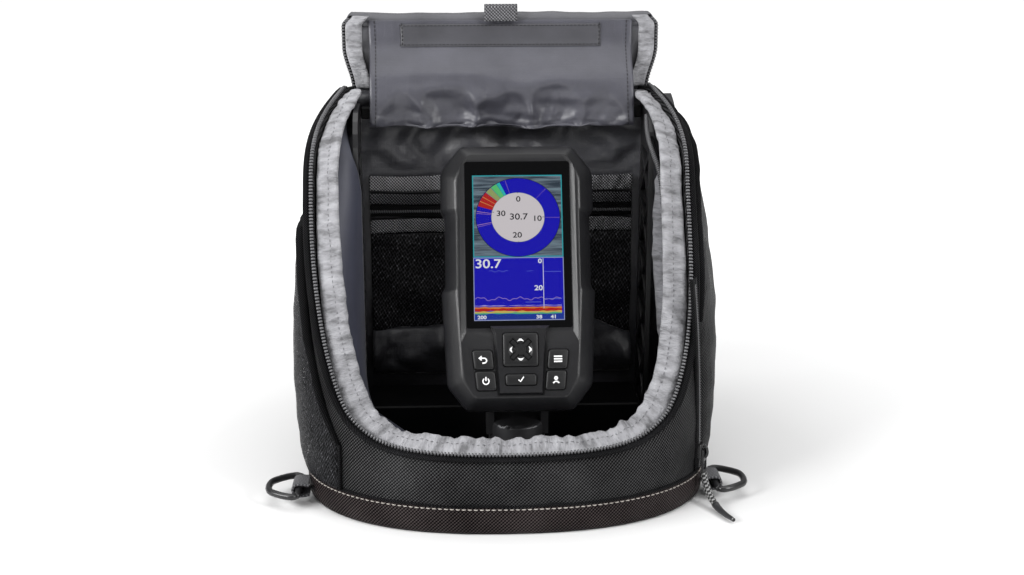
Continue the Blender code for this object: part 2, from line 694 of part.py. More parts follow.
def make_head(swivel):
    head = new_empty("display_at", (0, 0, 0), Matrix.Rotation(-TILT_BACK, 4, "X"), swivel)
    bosses = [(sx * 35.5, z) for sx in (-1, 1) for z in (12.0, 112.0)]

    # front bezel
    bm = bmesh.new()
    loft(bm, [head_outline(0, PARTING_Y - 0.4), head_outline(0, PARTING_Y - 6), head_outline(9.5, FACE_Y)])
    bezel = new_object("front_bezel", bm, CASE_PLASTIC, head)
    inside = FACE_Y + FACE_WALL
    cut(bezel, "bezel_hollow", lambda b: loft(b, [head_outline(3, PARTING_Y + 3), head_outline(3, -44),
                                                  head_outline(11, inside)]), head)

    def island(b):
        top = [(-16.5, 27), (16.5, 27), (14.0, -12.5), (-14.0, -12.5)]
        foot = [(-19, 29), (19, 29), (16, -14.5), (-16, -14.5)]
        loft(b, [[(x, inside - 0.5, z) for x, z in foot], [(x, FACE_Y, z) for x, z in foot],
                 [(x, FACE_Y - ISLAND_RISE, z) for x, z in top]])
    join(bezel, "key_island", island, head)

    def boss(b):
        for x, z in bosses:
            cylinder(b, (x, inside - 0.5, z), (x, -17, z), 3.4, 12)
    join(bezel, "screw_bosses", boss, head)

    def openings(b):
        half, low, high = WINDOW
        box(b, (-half, FACE_Y - 6, low), (half, inside + 1, high))
        for x, z in bosses:
            cylinder(b, (x, -30, z), (x, -10, z), 1.6, 8)
        for name, key in KEYS.items():
            prism(b, key_outline(*key, grow=0.3), lambda x, z, s: (x, (FACE_Y - 8, inside + 1)[s], z))
    cut(bezel, "bezel_openings", openings, head)

    # glass, display panel, board, seal
    half, low, high = WINDOW
    bm = bmesh.new()
    box(bm, (-half + GAP, FACE_Y + 1.8, low + GAP), (half - GAP, FACE_Y + 3.4, high - GAP))
    new_object("screen_glass", bm, GLASS, head)
    bm = bmesh.new()
    box(bm, (-31, FACE_Y + 3.8, 30), (31, FACE_Y + 8, 133))
    new_object("lcd_panel", bm, LCD, head)
    bm = bmesh.new()
    box(bm, (-30.5, -46.5, -14), (30.5, -44.9, 128))
    new_object("circuit_board", bm, BOARD_GREEN, head)
    bm = bmesh.new()
    box(bm, (-29.8, inside + 1.3, -11), (29.8, inside + 2.8, 22))
    new_object("keypad_membrane", bm, SEAL_RUBBER, head)
    bm = bmesh.new()
    cylinder(bm, (-15, -44.6, 60), (-15, -40, 60), 6, 20)
    new_object("beeper", bm, BATTERY_BLACK, head, smooth=40)

    bm = bmesh.new()
    seal = [head_outline(1.0, PARTING_Y + 0.4), head_outline(1.0, PARTING_Y - 0.1),
            head_outline(2.6, PARTING_Y - 0.1), head_outline(2.6, PARTING_Y + 0.4)]
    loft(bm, seal, closed_path=True)
    new_object("housing_seal", bm, SEAL_RUBBER, head)

    # rear housing
    bm = bmesh.new()
    loft(bm, [head_outline(0, PARTING_Y + 0.7), head_outline(0.8, -28), head_outline(7, BACK_OF_HEAD_Y)])
    rear = new_object("rear_housing", bm, CASE_PLASTIC, head)
    back_inside = BACK_OF_HEAD_Y - SHELL
    cut(rear, "rear_hollow", lambda b: loft(b, [head_outline(SHELL + 0.2, PARTING_Y - 2),
                                                head_outline(SHELL + 0.8, -28),
                                                head_outline(SHELL + 6, back_inside)]), head)

    def rear_holes(b):
        for x, z in bosses:
            cylinder(b, (x, -30, z), (x, -5, z), 2.0, 10)
        cylinder(b, (27, -30, 38), (27, -5, 38), 8.4, 24)
    cut(rear, "rear_holes", rear_holes, head)

    for i, (x, z) in enumerate(bosses):
        bm = bmesh.new()
        cylinder(bm, (x, -28, z), (x, -12.5, z), 1.3, 8)
        screw = new_object(f"housing_screw_{i + 1}", bm, STEEL, head, smooth=40)
        join(screw, f"housing_screw_head_{i + 1}",
             lambda b: cylinder(b, (x, BACK_OF_HEAD_Y + GAP, z), (x, BACK_OF_HEAD_Y + 2.2, z), 3.0, 12, 2.4),
             head)

    bm = bmesh.new()
    cylinder(bm, (27, -24, 38), (27, -7, 38), 8.0, 24)
    socket = new_object("cable_socket", bm, CASE_PLASTIC, head, smooth=40)
    cut(socket, "socket_recess", lambda b: cylinder(b, (27, -15, 38), (27, -2, 38), 6.2, 24), head)

    # cradle that clips to the back and hangs on the tilt bolt
    bm = bmesh.new()
    box(bm, (-14.5, BACK_OF_HEAD_Y + GAP, -12), (14.5, BACK_OF_HEAD_Y + 4.5, 62))
    cradle = new_object("cradle", bm, FRAME_PLASTIC, head)
    for side, name in ((1, "right"), (-1, "left")):
        def lug(b):
            arc = [(8 * math.cos(math.pi * k / 10 - math.pi / 2), 8 * math.sin(math.pi * k / 10 - math.pi / 2))
                   for k in range(11)]
            outline = arc + [(-11, 8), (-11, -8)]
            prism(b, outline, lambda y, z, s: (side * (9.0, 14.5)[s], y, z))
        join(cradle, "cradle_lug_" + name, lug, head)
    cut(cradle, "cradle_bore", lambda b: cylinder(b, (-30, 0, 0), (30, 0, 0), 3.15, 16), head)

    # keys
    for name, key in KEYS.items():
        rise = KEY_STANDS + (ISLAND_RISE if name in ON_ISLAND else 0)
        bm = bmesh.new()
        prism(bm, key_outline(*key), lambda x, z, s: (x, (FACE_Y - rise, inside - 0.6)[s], z))
        cap = new_object(name, bm, KEY_RUBBER, head)
        bevel(cap, 0.5)


def main():
    for obj in list(bpy.data.objects):
        bpy.data.objects.remove(obj)
    make_boot()
    make_wall_panels()
    make_zip_and_trim()
    make_side_pockets()
    make_side_slider()
    make_pull_cord()
    make_rings()
    make_back_pocket()
    make_lid()
    make_lid_pocket()
    make_frame()
    make_battery()
    make_head(make_mount())


main()
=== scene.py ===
"""Looks of the portable fish finder: fabrics, display, mount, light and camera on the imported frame.

Lengths are in millimetres up to the point where a mesh is made. The bag's plan and the edge of its
opening follow the same few numbers as the CAD, the rest is read from the frame.
"""

import json
import math

import bmesh
import bpy
from mathutils import Matrix, Vector, noise


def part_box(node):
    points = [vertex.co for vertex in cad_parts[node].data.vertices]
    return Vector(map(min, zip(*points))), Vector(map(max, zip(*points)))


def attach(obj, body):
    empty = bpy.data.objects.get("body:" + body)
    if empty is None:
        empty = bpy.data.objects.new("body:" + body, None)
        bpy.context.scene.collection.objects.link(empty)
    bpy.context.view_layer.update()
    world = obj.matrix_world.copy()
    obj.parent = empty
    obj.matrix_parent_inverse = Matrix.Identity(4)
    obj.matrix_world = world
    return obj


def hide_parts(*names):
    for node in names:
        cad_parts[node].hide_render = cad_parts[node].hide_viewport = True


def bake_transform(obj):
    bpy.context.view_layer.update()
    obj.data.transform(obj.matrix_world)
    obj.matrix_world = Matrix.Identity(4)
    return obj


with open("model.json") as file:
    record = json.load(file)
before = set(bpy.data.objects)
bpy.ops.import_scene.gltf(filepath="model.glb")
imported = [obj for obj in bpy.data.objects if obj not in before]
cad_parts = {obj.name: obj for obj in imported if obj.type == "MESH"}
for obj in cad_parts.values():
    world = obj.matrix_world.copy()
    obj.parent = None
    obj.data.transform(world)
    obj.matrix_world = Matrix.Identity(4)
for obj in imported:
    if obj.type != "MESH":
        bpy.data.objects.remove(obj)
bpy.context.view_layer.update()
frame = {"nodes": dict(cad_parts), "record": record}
MM = 0.001


def corners(node):
    """A node's box in millimetres."""
    low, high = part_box(node)
    return Vector(low) / MM, Vector(high) / MM


def joint(name):
    return next(j for j in frame["record"]["behaviour"]["joints"] if j["name"] == name)


# ---------------------------------------------------------------- bag, as in the CAD
BOOT_LOW, BOOT_HIGH = corners("base_boot")
HALF_WIDTH = BOOT_HIGH.x - 1.0
FRONT_DEPTH = -BOOT_LOW.y - 1.0
BOOT_HEIGHT = BOOT_HIGH.z
BACK_Y = corners("back_panel")[1].y        # outer face of the back
BACK_HEIGHT = corners("back_panel")[1].z
WALL = 5.0
CORNER = 13.0                              # radius of the back corners
PLAN_POWER = 2.3
OPENING_EDGE = [(75, 253.5), (50, 247), (30, 236), (5, 215), (-15, 172), (-31, 134),
                (-45, 100), (-58, 72), (-70, 58), (-80, 51.5), (-90, 49.5)]

# ---------------------------------------------------------------- display, as in the CAD
PIVOT = Vector(joint("display_tilt")["pos_m"]) / MM
TILT_BACK = math.radians(24)
HEAD = Matrix.Translation(PIVOT) @ Matrix.Rotation(-TILT_BACK, 4, "X")
HEAD_HALF, HEAD_BOTTOM, HEAD_TOP = 49.0, -23.5, 147.0
FACE_Y, PARTING_Y = -56.0, -38.0
BACK_OF_HEAD_Y = -13.0

# ---------------------------------------------------------------- lid
LID_HINGE = Vector(joint("lid_lift")["pos_m"]) / MM
LID_FOLD = Vector(joint("lid_fold")["pos_m"]) / MM
LID_HALF = corners("lid_upper_panel")[1].x


# ================================================================ materials
class Shade:
    """A Principled material with short calls for its nodes."""

    def __init__(self, name, colour, roughness, metallic=0.0, **numbers):
        self.made = bpy.data.materials.new(name)
        self.made.use_nodes = True
        self.tree = self.made.node_tree
        self.shader = self.tree.nodes["Principled BSDF"]
        self.set("Base Color", (*colour, 1))
        self.set("Roughness", roughness)
        self.set("Metallic", metallic)
        for key, value in numbers.items():
            self.set(key.replace("_", " "), value)

    def set(self, socket, value):
        self.shader.inputs[socket].default_value = value

    def node(self, kind, inputs=(), **settings):
        made = self.tree.nodes.new(kind)
        for key, value in settings.items():
            setattr(made, key, value)
        for key, value in dict(inputs).items():
            if isinstance(value, bpy.types.NodeSocket):
                self.tree.links.new(value, made.inputs[key])
            else:
                made.inputs[key].default_value = value
        return made

    def maths(self, operation, a, b=0.0):
        return self.node("ShaderNodeMath", {0: a, 1: b}, operation=operation).outputs[0]

    def link(self, output, socket):
        self.tree.links.new(output, self.shader.inputs[socket])

    def coordinates(self, kind):
        return self.node("ShaderNodeTexCoord").outputs[kind]

    def noise(self, vector, scale, detail=3.0, roughness=0.55):
        made = self.node("ShaderNodeTexNoise", {"Vector": vector, "Scale": scale, "Detail": detail,
                                                "Roughness": roughness})
        return made.outputs["Fac"]

    def ramp(self, value, stops):
        made = self.node("ShaderNodeValToRGB", {"Fac": value})
        ramp = made.color_ramp
        while len(ramp.elements) < len(stops):
            ramp.elements.new(0.5)
        for element, (at, colour) in zip(ramp.elements, stops):
            element.position = at
            element.color = (*colour, 1)
        return made.outputs["Color"]

    def bump(self, height, strength, distance=0.001):
        made = self.node("ShaderNodeBump", {"Height": height, "Strength": strength,
                                            "Distance": distance})
        self.link(made.outputs["Normal"], "Normal")


def scaled(colour, factor):
    return tuple(min(1.0, c * factor) for c in colour)


def weave(name, colour, pitch, contrast=0.5, roughness=0.7, sheen=0.2, strength=0.5, shine=0.5):
    """Woven cloth: crossing threads with painted shade in the gaps between them and painted highlights on their
    tops, slow unevenness in colour, and creases.
    """
    shade = Shade(name, colour, roughness, Sheen_Weight=sheen, Sheen_Roughness=0.4,
                  Specular_IOR_Level=shine)
    axes = shade.node("ShaderNodeSeparateXYZ", {0: shade.coordinates("UV")}).outputs
    turns = 2 * math.pi / (pitch * MM)
    warp, weft, slant = (
        shade.maths("SINE", shade.maths("MULTIPLY", run, turns))
        for run in (axes["X"], axes["Y"], shade.maths("ADD", axes["X"], axes["Y"])))
    crossing = shade.maths("ADD", shade.maths("MULTIPLY", warp, weft),
                           shade.maths("MULTIPLY", slant, 0.6))
    threads = shade.maths("MULTIPLY_ADD", crossing, 0.31)
    threads.node.inputs[2].default_value = 0.5
    position = shade.coordinates("Object")
    patches = shade.noise(position, 22.0, 4.0)
    thread_shade_and_patches = shade.maths("ADD", shade.maths("MULTIPLY", threads, 0.65),
                        shade.maths("MULTIPLY", patches, 0.35))
    # painted shade and highlight: the colour darkens in the gaps between threads and lightens on their tops,
    # while the noise patches add random tone
    colours = shade.ramp(thread_shade_and_patches, [(0.3, scaled(colour, 1 - contrast)), (0.5, colour),
                                 (0.72, scaled(colour, 1 + 3 * contrast))])
    shade.link(colours, "Base Color")
    if shine:
        gloss = shade.maths("MULTIPLY", shade.maths("POWER", thread_shade_and_patches, 3.0), 5.0 * shine)
        shade.link(gloss, "Specular IOR Level")
    creases = shade.noise(position, 90.0, 5.0, 0.6)
    shade.bump(shade.maths("ADD", threads, shade.maths("MULTIPLY", creases, 0.8)), strength, 0.0008)
    return shade.made


def puckered(name, colour):
    """Gathered binding: creases run across it, with fine ones between. Its colour carries painted shade in the
    creases and a painted highlight on their crests.
    """
    shade = Shade(name, colour, 0.75, Sheen_Weight=0.1, Sheen_Roughness=0.4)
    place = shade.coordinates("UV")

    def creases(turn, scale, detail):
        made = shade.node("ShaderNodeMapping", {"Vector": place, "Rotation": (0, 0, turn),
                                                "Scale": (*scale, 1)})
        return shade.noise(made.outputs[0], 1.0, detail, 0.6)

    folds = creases(0.35, (55, 150), 5.0)
    fine = creases(-0.3, (130, 380), 4.0)
    height = shade.maths("ADD", folds, shade.maths("MULTIPLY", fine, 0.4))
    # painted shade: the colour follows the folds, darkened in the creases and lightened on the crests
    colours = shade.ramp(folds, [(0.34, scaled(colour, 0.4)), (0.43, scaled(colour, 0.75)),
                                 (0.52, colour), (0.66, scaled(colour, 1.25))])
    shade.link(colours, "Base Color")
    shade.bump(height, 1.0, 0.0035)
    return shade.made


def silk(name, colour, roughness=0.42, strength=0.35, sheen=0.3):
    """Thin coated lining: smooth, with fine creases that catch the light and a ripstop grid."""
    shade = Shade(name, colour, roughness, Sheen_Weight=sheen, Sheen_Roughness=0.3)
    place = shade.coordinates("UV")
    axes = shade.node("ShaderNodeSeparateXYZ", {0: place}).outputs
    grid = []
    for axis in ("X", "Y"):
        wave = shade.maths("SINE", shade.maths("MULTIPLY", axes[axis], 2 * math.pi / 0.0048))
        grid.append(shade.maths("GREATER_THAN", wave, 0.93))
    grid = shade.maths("MAXIMUM", *grid)
    position = shade.coordinates("Object")
    soft = shade.noise(position, 30.0, 5.0, 0.6)
    colours = shade.ramp(soft, [(0.3, scaled(colour, 0.8)), (0.7, scaled(colour, 1.2))])
    shade.link(colours, "Base Color")
    creases = shade.noise(position, 70.0, 6.0, 0.65)
    height = shade.maths("ADD", creases, shade.maths("MULTIPLY", grid, 0.08))
    shade.bump(height, strength, 0.0012)
    return shade.made


def net(name, colour, thread, pitch, open_holes=False):
    """Knitted mesh: round holes between threads with a painted highlight on their crests, the holes either
    painted dark as shade or cut open.
    """
    shade = Shade(name, colour, 0.45, Specular_IOR_Level=0.08)
    place = shade.coordinates("UV")
    slanted = shade.node("ShaderNodeMapping", {"Vector": place, "Rotation": (0, 0, math.radians(38)),
                                               "Scale": (0.8 / (pitch * MM), 1.15 / (pitch * MM), 1)})
    cells = shade.node("ShaderNodeTexVoronoi", {"Vector": slanted.outputs[0], "Scale": 1.0,
                                                "Randomness": 0.3})
    hole = cells.outputs["Distance"]
    if open_holes:
        shade.link(shade.maths("GREATER_THAN", hole, 0.33), "Alpha")
    # painted shade in the holes, and a painted highlight (thread colour times nine) along the thread crests
    shade.link(shade.ramp(hole, [(0.25, (0.001, 0.001, 0.001)), (0.38, colour), (0.55, thread),
                                (0.68, thread), (0.74, scaled(thread, 9))]), "Base Color")
    shade.bump(shade.maths("MINIMUM", hole, 0.5), 0.9, 0.0009)
    return shade.made


def moulded(name, colour, roughness, grain=0.12, scale=1800.0, metallic=0.0, **numbers):
    """Moulded plastic or metal with a fine grain and slightly uneven gloss."""
    shade = Shade(name, colour, roughness, metallic, **numbers)
    position = shade.coordinates("Object")
    wear = shade.noise(position, 60.0, 4.0)
    low, high = max(0.02, roughness - 0.05), min(1.0, roughness + 0.07)
    span = shade.maths("ADD", shade.maths("MULTIPLY", wear, high - low), low)
    shade.link(span, "Roughness")
    shade.link(shade.ramp(wear, [(0.3, scaled(colour, 0.85)), (0.7, scaled(colour, 1.15))]), "Base Color")
    if grain:
        shade.bump(shade.noise(position, scale, 2.0), grain, 0.0002)
    return shade.made


def glow(name, colour, strength=0.9):
    shade = Shade(name, (0, 0, 0), 0.5, Specular_IOR_Level=0.0)
    shade.set("Emission Color", (*colour, 1))
    shade.set("Emission Strength", strength)
    return shade.made


def studio_floor():
    """White, and brighter away from the object so that its edges vanish."""
    shade = Shade("floor", (0.73, 0.73, 0.73), 0.9, Specular_IOR_Level=0.0)
    plain_radius, brightest = 0.22, 0.6
    away = shade.node("ShaderNodeVectorMath", {0: shade.coordinates("Object")}, operation="LENGTH")
    beyond = shade.maths("SUBTRACT", away.outputs["Value"], plain_radius)
    beyond = shade.maths("MAXIMUM", beyond, 0.0)
    shade.set("Emission Color", (1, 1, 1, 1))
    shade.link(shade.maths("MINIMUM", beyond, brightest), "Emission Strength")
    return shade.made


NYLON = weave("ballistic_nylon", (0.010, 0.010, 0.0105), 2.3, 0.95, 0.45, 0.0, 1.0, shine=0.2)
BOOT_CLOTH = weave("boot_cloth", (0.013, 0.0095, 0.0095), 2.3, 0.95, 0.5, 0.0, 1.0, shine=0.16)
LINING = silk("grey_lining", (0.062, 0.062, 0.070))
LINING_SIDE = silk("side_lining", (0.036, 0.038, 0.056), 0.55, 0.12, 0.1)
LINING_DARK = silk("dark_lining", (0.010, 0.010, 0.012), 0.5, 0.3, 0.05)
LINING_BACK = silk("back_lining", (0.040, 0.040, 0.046), 0.42, 0.6)
FLAP = silk("flap_cloth", (0.055, 0.055, 0.068), 0.42, 0.35, 0.15)
FLAP_STRIP = silk("flap_strip_cloth", (0.040, 0.040, 0.047), 0.5, 0.2, 0.1)
TRIM = puckered("binding", (0.27, 0.27, 0.285))
LINING_PALE = puckered("pale_lining", (0.12, 0.12, 0.13))
COIL = moulded("coil_grey", (0.09, 0.09, 0.095), 0.35, 0.0)
WEBBING = weave("webbing", (0.075, 0.075, 0.08), 2.2, 0.5, 0.75, 0.1, 1.0)
TAPE = weave("black_tape", (0.004, 0.004, 0.0045), 1.5, 0.6, 0.6, 0.0, 0.8, shine=0.1)
ELASTIC = weave("elastic", (0.10, 0.10, 0.105), 2.1, 0.9, 0.7, 0.0, 1.0)
ELASTIC_DARK = weave("elastic_dark", (0.035, 0.035, 0.038), 2.1, 0.9, 0.7, 0.0, 1.0)
CORD = weave("patterned_cord", (0.10, 0.10, 0.10), 3.2, 0.9, 0.8, 0.1, 1.0)
NET = net("pocket_net", (0.004, 0.004, 0.0045), (0.022, 0.022, 0.024), 1.9, open_holes=True)
NET_DARK = net("inner_net", (0.005, 0.005, 0.0055), (0.035, 0.035, 0.038), 1.9)
TEETH = moulded("zip_teeth", (0.10, 0.10, 0.105), 0.25, 0.05)
FRAME_BLACK = moulded("frame_black", (0.010, 0.010, 0.011), 0.36, 0.15, 900.0)
SHELF_BLACK = moulded("shelf_black", (0.003, 0.003, 0.0035), 0.5, 0.1, 900.0, Specular_IOR_Level=0.15)
MOUNT_BLACK = moulded("mount_black", (0.05, 0.05, 0.053), 0.42, 0.0, metallic=0.6)
RING_GREY = moulded("ring_grey", (0.016, 0.016, 0.017), 0.28, 0.1)
CASE = moulded("case_plastic", (0.007, 0.007, 0.008), 0.34, 0.5, 1500.0, Specular_IOR_Level=0.4)
CASE_REAR = moulded("case_rear", (0.008, 0.008, 0.010), 0.42, 0.25, 2200.0, Specular_IOR_Level=0.35)
KEY = moulded("key_rubber", (0.006, 0.006, 0.0065), 0.42, 0.12, 2600.0, Specular_IOR_Level=0.3)
WHITE_INK = moulded("white_ink", (0.75, 0.75, 0.75), 0.5, 0.0)
BLACK_GLASS = Shade("black_glass", (0.001, 0.001, 0.0012), 0.08, Specular_IOR_Level=0.2).made
THREAD = moulded("pale_thread", (0.36, 0.33, 0.30), 0.7, 0.0)
DARK_THREAD = moulded("dark_thread", (0.012, 0.012, 0.014), 0.7, 0.0)
GREY_THREAD = moulded("grey_thread", (0.13, 0.13, 0.14), 0.7, 0.0)
STEEL = moulded("steel", (0.55, 0.55, 0.55), 0.28, 0.1, 1200.0, metallic=1.0)
ENAMEL = moulded("black_enamel", (0.010, 0.010, 0.011), 0.25, 0.05)
BOARD = moulded("solder_mask", (0.01, 0.10, 0.035), 0.4, 0.1)
BATTERY = moulded("battery_case", (0.018, 0.018, 0.02), 0.5, 0.2)
BRASS = moulded("brass", (0.7, 0.5, 0.2), 0.3, 0.05, metallic=1.0)
SEAL = moulded("seal_rubber", (0.02, 0.02, 0.02), 0.7, 0.2)
FLOOR = studio_floor()


# ================================================================ mesh helpers
def link_piece(name, mesh, mat, body, replaces=()):
    mesh.materials.append(mat)
    obj = bpy.data.objects.new(name, mesh)
    bpy.context.scene.collection.objects.link(obj)
    mesh.shade_smooth()
    if body:
        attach(obj, body)
    if replaces:
        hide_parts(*replaces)
    return obj


def finish_bmesh(bm, name):
    bmesh.ops.recalc_face_normals(bm, faces=bm.faces)
    bm.transform(Matrix.Scale(MM, 4))
    mesh = bpy.data.meshes.new(name)
    bm.to_mesh(mesh)
    bm.free()
    return mesh


def lengths_along(points):
    """Running length in metres at each point."""
    made = [0.0]
    for a, b in zip(points, points[1:]):
        made.append(made[-1] + (Vector(b) - Vector(a)).length * MM)
    return made


def add_grid(bm, rows, closed=False, cap=False):
    """Skins rows of points. UVs are in metres: along each row, and from row to row at their middle."""
    layer = bm.loops.layers.uv.verify()
    grid = [[bm.verts.new(p) for p in row] for row in rows]
    count = len(rows[0])
    across = [lengths_along(list(row) + ([row[0]] if closed else [])) for row in rows]
    along = lengths_along([row[count // 2] for row in rows])
    for i in range(len(rows) - 1):
        for k in range(count if closed else count - 1):
            n = (k + 1) % count
            face = bm.faces.new((grid[i][k], grid[i][n], grid[i + 1][n], grid[i + 1][k]))
            places = ((across[i][k], along[i]), (across[i][k + 1], along[i]),
                      (across[i + 1][k + 1], along[i + 1]), (across[i + 1][k], along[i + 1]))
            for loop, place in zip(face.loops, places):
                loop[layer].uv = place
    if cap:
        bm.faces.new(grid[0])
        bm.faces.new(list(reversed(grid[-1])))


def sheet_piece(name, rows, mat, body, thick=0.8, replaces=()):
    """A cloth surface with some thickness."""
    bm = bmesh.new()
    add_grid(bm, rows)
    obj = link_piece(name, finish_bmesh(bm, name), mat, body, replaces)
    solid = obj.modifiers.new("thickness", "SOLIDIFY")
    solid.thickness = thick * MM
    solid.offset = 0
    return obj


def tube_piece(name, rings, mat, body, replaces=(), closed_path=False):
    bm = bmesh.new()
    rows = list(rings) + ([rings[0]] if closed_path else [])
    add_grid(bm, rows, closed=True, cap=not closed_path)
    if closed_path:
        bmesh.ops.remove_doubles(bm, verts=bm.verts, dist=0.001)
    return link_piece(name, finish_bmesh(bm, name), mat, body, replaces)


def frames_along(points, up=Vector((0, 0, 1)), closed=False):
    """Side and upright directions at each point of a path."""
    made = []
    count = len(points)
    for i, point in enumerate(points):
        before = points[i - 1] if closed or i else points[0]
        after = points[(i + 1) % count] if closed or i < count - 1 else points[-1]
        run = (Vector(after) - Vector(before)).normalized()
        side = run.cross(up)
        side = side.normalized() if side.length > 1e-4 else Vector((1, 0, 0))
        made.append((Vector(point), run, side, side.cross(run)))
    return made


def round_rings(points, radius, sides=10, up=Vector((0, 0, 1)), closed=False, flat=1.0):
    """Rings of a round or flattened cord along a path. radius may be a function of 0 to 1."""
    rings = []
    path = frames_along(points, up, closed)
    for i, (point, _, side, top) in enumerate(path):
        r = radius(i / (len(path) - 1)) if callable(radius) else radius
        rings.append([point + side * r * math.cos(2 * math.pi * k / sides)
                      + top * r * flat * math.sin(2 * math.pi * k / sides) for k in range(sides)])
    return rings


def even_path(points, step):
    """Points at even steps along a polyline, with the direction there."""
    made, left = [], 0.0
    for a, b in zip(points, points[1:]):
        a, b = Vector(a), Vector(b)
        run = (b - a).length
        at = left
        while at < run:
            made.append((a.lerp(b, at / run), (b - a).normalized()))
            at += step
        left = at - run
    return made


def add_stitch(bm, point, run, out, length, radius):
    """One stitch: a small six-sided capsule that dips at its ends."""
    side = run.cross(out).normalized()
    rings = []
    for share, lift, size in ((-0.5, -0.5, 0.35), (-0.3, 0.5, 0.9), (0, 0.75, 1), (0.3, 0.5, 0.9),
                              (0.5, -0.5, 0.35)):
        centre = point + run * length * share + out * radius * lift
        rings.append([centre + side * radius * size * math.cos(k * math.pi / 3)
                      + out * radius * size * math.sin(k * math.pi / 3) for k in range(6)])
    add_grid(bm, rings, closed=True, cap=True)


def stitch_piece(name, path, body, mat=THREAD, length=2.5, radius=0.38):
    """path holds (point, run, out) at even steps."""
    bm = bmesh.new()
    for point, run, out in path:
        add_stitch(bm, point, run, out, length, radius)
    return link_piece(name, finish_bmesh(bm, name), mat, body)


def stitched_line(points, out, step):
    return [(p, run, out) for p, run in even_path(points, step)]


def wobble(point, scale, amount, seed=0.0):
    """Smooth noise in one direction, in millimetres."""
    return noise.noise(Vector(point) / scale + Vector((seed, seed * 1.7, -seed))) * amount


def smooth_curve(points, t):
    """A Catmull-Rom curve through the points, t from 0 to 1."""
    spans = len(points) - 1
    at = min(max(t, 0.0), 1.0) * spans
    i = min(int(at), spans - 1)
    f = at - i
    p0, p1, p2, p3 = (Vector(points[min(max(k, 0), spans)]) for k in (i - 1, i, i + 1, i + 2))
    return 0.5 * (2 * p1 + (p2 - p0) * f + (2 * p0 - 5 * p1 + 4 * p2 - p3) * f ** 2
                  + (3 * p1 - p0 - 3 * p2 + p3) * f ** 3)


def ease(t):
    t = min(max(t, 0.0), 1.0)
    return t * t * (3 - 2 * t)


# ================================================================ the bag's surface, as in the CAD
EDGE_SAMPLES = [smooth_curve(OPENING_EDGE, i / 300) for i in range(301)]


def half_width(z):
    shoulder = max(0.0, (z - 195.0) / 60.0)
    return HALF_WIDTH - 5.0 * min(z, 200.0) / 200.0 - 22.0 * shoulder ** 4


def edge_height(y):
    for a, b in zip(EDGE_SAMPLES, EDGE_SAMPLES[1:]):
        if b.x <= y <= a.x:
            return a.y + (b.y - a.y) * (a.x - y) / max(a.x - b.x, 1e-6)
    return OPENING_EDGE[-1][1] if y < 0 else OPENING_EDGE[0][1]


def plan_point(angle):
    if angle <= 0:
        return 1.0, -angle
    c, s = math.cos(math.radians(angle)), math.sin(math.radians(angle))
    return math.copysign(abs(c) ** (2 / PLAN_POWER), c), -FRONT_DEPTH * s ** (2 / PLAN_POWER)


def right_lean(z):
    """The right wall sags inwards high up, behind its outer pocket."""
    return 7.0 * math.exp(-((z - 200.0) / 75.0) ** 2)


def wall_point(angle, z, depth=0.0, side=1):
    """Angles over -(back - corner) follow the plan; below that they go round the back corner."""
    limit = BACK_Y - CORNER
    width = half_width(z) - depth - (right_lean(z) if side > 0 else 0.0)
    if angle < -limit:
        turn = min((-angle - limit) / CORNER / (math.pi / 2), 1.0) * math.pi / 2
        r = max(CORNER - depth, 1.0)
        beyond = max(0.0, -angle - limit - CORNER * math.pi / 2)
        x = width - r + r * math.cos(turn)
        y = BACK_Y - depth - r + r * math.sin(turn)
        x -= beyond * (width - r) / (half_width(60) - CORNER)
        return Vector((side * max(x, 0.0), y, z))
    share, y = plan_point(angle)
    y *= (FRONT_DEPTH - depth) / FRONT_DEPTH if y < 0 else 1.0
    return Vector((side * share * width, y, z))


# where the angles end, at the middle of the back
BACK_RUN = -(BACK_Y - CORNER + CORNER * math.pi / 2 + half_width(60) - CORNER)


def panel_top(angle):
    if angle < -(BACK_Y - CORNER):
        return BACK_HEIGHT
    return min(edge_height(plan_point(angle)[1]), BACK_HEIGHT)


def wall_out(angle, z, side=1):
    level = wall_point(angle + 1, z, 0, side) - wall_point(angle - 1, z, 0, side)
    return level.cross(Vector((0, 0, 1))).normalized() * -side


def edge_frame(angle, side=1):
    """On the opening's edge: the point, the way into the opening, and the way outwards."""
    before = wall_point(angle - 1, edge_height(plan_point(angle - 1)[1]), 0, side)
    after = wall_point(angle + 1, edge_height(plan_point(angle + 1)[1]), 0, side)
    z = panel_top(angle)
    outward = wall_out(angle, z, side)
    inward = (after - before).normalized().cross(outward).normalized()
    if inward.z < 0:
        inward = -inward
    return wall_point(angle, z, 0, side), inward, outward


def edge_angles(start, step):
    """Angles down one side of the opening, to the middle of the front."""
    straight = max(1, int(start / step))
    curved = int(90 / step)
    return ([-start * (1 - k / straight) for k in range(straight)]
            + [90.0 * k / curved for k in range(curved + 1)])


def edge_path(start, step):
    angles = edge_angles(start, step)
    right = [(a, 1) for a in angles]
    left = [(a, -1) for a in reversed(angles[:-1])]
    return right + left


# ================================================================ bag, outside
def outward_at(point, angle, z, side):
    """The way out of the wall, also round the back corner and across the back."""
    if angle > -(BACK_Y - CORNER):
        return wall_out(min(angle, 89.0), z, side)
    return (wall_point(angle, z, -1, side) - point).normalized()


def wall_rows(angles, bottom, rows, depth, side, seed, top_gap=0.0):
    """Columns of a wall, one per angle: depth(share, point, seed) is measured inwards."""
    made = []
    for angle in angles:
        top = panel_top(angle) - top_gap
        column = []
        for k in range(rows + 1):
            share = k / rows
            z = bottom + (top - bottom) * share
            point = wall_point(angle, z, 0, side)
            column.append(point - outward_at(point, angle, z, side) * depth(share, point, seed))
        made.append(column)
    return made


